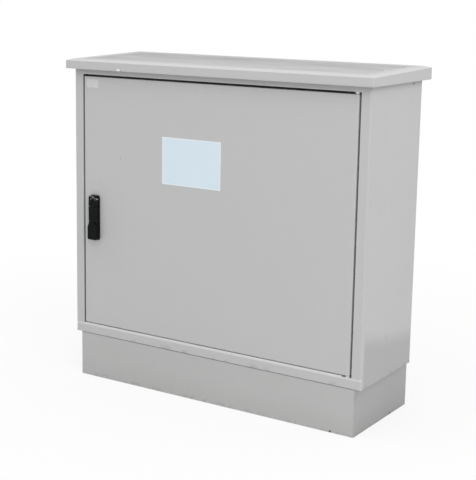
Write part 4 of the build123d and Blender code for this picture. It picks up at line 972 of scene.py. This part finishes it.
class CABINET_OT_counter(CabinetOperator):
    """Puts the number wheels into the meter's counter"""

    bl_idname = "cabinet.counter"
    bl_label = "Build the counter"

    def execute(self, context):
        centre = mid("index_face")
        row_lift, digit_height, print_rise = 3 * MM, 6.4 * MM, 0.08 * MM
        centre = Vector((centre.x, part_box("index_face")[0].y, centre.z + row_lift))
        numbers = "00473061"
        pitch, radius, reach, arc = 10.5 * MM, 12 * MM, 3.4 * MM, 42
        wheels = counter_wheels(len(numbers), pitch, radius, reach, arc)
        wheels.transform(Matrix.Translation(centre))
        new_piece("counter_wheels", wheels, "cabinet",
                  moulded_finish("wheel_black", (0.012, 0.012, 0.013), 0.42))
        flat = bmesh.new()
        for place, number in enumerate(numbers):
            x = (place - (len(numbers) - 1) / 2) * pitch
            mesh = digit_mesh(number, digit_height)
            mesh.transform(Matrix.Translation((x, 0.0, 0.0)) @ Matrix.Rotation(math.pi / 2, 4, "X"))
            for vertex in mesh.vertices:
                vertex.co.y = radius - reach - math.sqrt(radius ** 2 - vertex.co.z ** 2) - print_rise
            flat.from_mesh(mesh)
            bpy.data.meshes.remove(mesh)
        digits = bpy.data.meshes.new("counter_digits")
        flat.to_mesh(digits)
        flat.free()
        digits.transform(Matrix.Translation(centre))
        new_piece("counter_digits", digits, "cabinet",
                  moulded_finish("digit_white", (0.80, 0.80, 0.78), 0.5))
        return {"FINISHED"}


def lamp(name, place, target, power, size):
    """A round soft lamp that looks at a target."""
    data = bpy.data.lights.new(name, "AREA")
    data.energy = power
    data.shape = "DISK"
    data.size = size
    made = new_object(name, data)
    made.location = place
    made.rotation_euler = (Vector(target) - Vector(place)).to_track_quat("-Z", "Y").to_euler()


def seen_rays(graph):
    """1 for the rays that show the surroundings, 0 for those that light the object."""
    rays = graph.node("ShaderNodeLightPath").outputs
    camera, glossy, through = [Value(graph, rays[name]) for name in (
        "Is Camera Ray", "Is Glossy Ray", "Is Transmission Ray")]
    return camera.at_least(glossy).at_least(through)


class CABINET_OT_stage(CabinetOperator):
    """Lays the floor and sets the light and the camera"""

    bl_idname = "cabinet.stage"
    bl_label = "Set the stage"

    def execute(self, context):
        stage = context.scene.cabinet_stage
        context.scene.view_settings.view_transform = "Standard"
        self.lay_floor(stage)
        self.light(context, stage)
        self.set_camera(context, stage)
        return {"FINISHED"}

    def lay_floor(self, stage):
        mesh = bpy.data.meshes.new("floor")
        reach = 60.0
        mesh.from_pydata([(-reach, -reach, 0), (reach, -reach, 0), (reach, reach, 0), (-reach, reach, 0)], [],
                         [(0, 1, 2, 3)])
        floor = new_object("floor", mesh)
        material = bpy.data.materials.new("pale_floor")
        material.use_nodes = True
        graph = Graph(material.node_tree)
        matt = graph.value("ShaderNodeBsdfDiffuse", None, {"Color": (*stage.floor, 1.0)})
        glow = graph.value("ShaderNodeEmission", None, {"Color": WHITE, "Strength": 1.0})
        place = graph.value("ShaderNodeTexCoord", output="Object")
        far = graph.value("ShaderNodeVectorMath", {"operation": "LENGTH"}, {0: place}, "Value")
        shadow_reach, clear_reach, shadow_share = 0.6, 2.4, 0.80
        clear = graph.step(far, shadow_reach, clear_reach, shadow_share, 1.0)
        low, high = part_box("plinth_frame")
        wall = 3 * MM
        x, y, _ = graph.parts(place)
        open_floor = (abs(x) > high.x - wall).at_least(abs(y) > -low.y - wall)
        share = seen_rays(graph) * (clear * open_floor)
        blend = graph.value("ShaderNodeMixShader", None, {0: share, 1: matt, 2: glow})
        graph.node("ShaderNodeOutputMaterial", None, {"Surface": blend})
        mesh.materials.append(material)

    def light(self, context, stage):
        world = bpy.data.worlds.new("studio")
        context.scene.world = world
        world.use_nodes = True
        graph = Graph(world.node_tree)
        _, _, up = graph.parts(graph.value("ShaderNodeTexCoord", output="Generated"))
        sky = graph.step(up, -0.1, 0.9, stage.sky * 0.8, stage.sky * 1.25)
        soft = graph.value("ShaderNodeBackground", None, {"Color": WHITE, "Strength": sky})
        white = graph.value("ShaderNodeBackground", None, {"Color": WHITE, "Strength": 1.0})
        blend = graph.value("ShaderNodeMixShader", None, {0: seen_rays(graph), 1: soft, 2: white})
        graph.node("ShaderNodeOutputWorld", None, {"Surface": blend})
        lamp("key", (4.2, -3.0, 3.4), (0.0, 0.0, 0.6), stage.key, 3.2)
        lamp("top", (-0.4, -1.4, 4.6), (0.0, 0.0, 0.9), stage.key * 0.35, 3.0)

    def set_camera(self, context, stage):
        data = bpy.data.cameras.new("camera")
        data.sensor_width = 36.0
        data.lens = stage.lens
        data.shift_x = 0.08
        data.shift_y = -0.06
        data.clip_end = 200.0
        camera = new_object("camera", data)
        place = Vector((1.885, -3.0135, 1.2255))
        right = Vector((0.82829, 0.56018, 0.01182))
        up = Vector((-0.1136, 0.14723, 0.98256))
        back = Vector((0.54867, -0.81518, 0.18559))
        turn = Matrix((right, up, back)).transposed().to_4x4()
        camera.matrix_world = Matrix.Translation(place) @ turn
        context.scene.camera = camera


class CABINET_PT_sidebar(bpy.types.Panel):
    """Lists the cabinet's steps and settings"""

    bl_idname = "CABINET_PT_sidebar"
    bl_label = "Gas meter cabinet"
    bl_space_type = "VIEW_3D"
    bl_region_type = "UI"
    bl_category = "Cabinet"

    def draw(self, context):
        for group in ("cabinet_finish", "cabinet_fixings", "cabinet_stage"):
            box = self.layout.box()
            settings = getattr(context.scene, group)
            for name in settings.bl_rna.properties.keys():
                if name not in ("rna_type", "name"):
                    box.prop(settings, name)
        for step in STEPS:
            self.layout.operator(step.bl_idname)


STEPS = (CABINET_OT_housing, CABINET_OT_sheetwork, CABINET_OT_handle, CABINET_OT_gas_set, CABINET_OT_fixings,
         CABINET_OT_counter, CABINET_OT_stage)
GROUPS = {"cabinet_finish": CabinetFinish, "cabinet_fixings": CabinetFixings, "cabinet_stage": CabinetStage}


def register():
    for group, kind in GROUPS.items():
        bpy.utils.register_class(kind)
        setattr(bpy.types.Scene, group, bpy.props.PointerProperty(type=kind))
    for kind in (*STEPS, CABINET_PT_sidebar):
        bpy.utils.register_class(kind)


def unregister():
    for kind in reversed((*STEPS, CABINET_PT_sidebar)):
        bpy.utils.unregister_class(kind)
    for group, kind in GROUPS.items():
        delattr(bpy.types.Scene, group)
        bpy.utils.unregister_class(kind)


def main():
    register()
    bpy.ops.cabinet.housing()
    bpy.ops.cabinet.sheetwork()
    bpy.ops.cabinet.handle()
    bpy.ops.cabinet.gas_set()
    bpy.ops.cabinet.fixings()
    bpy.ops.cabinet.counter()
    bpy.ops.cabinet.stage()


if __name__ == "__main__":
    main()
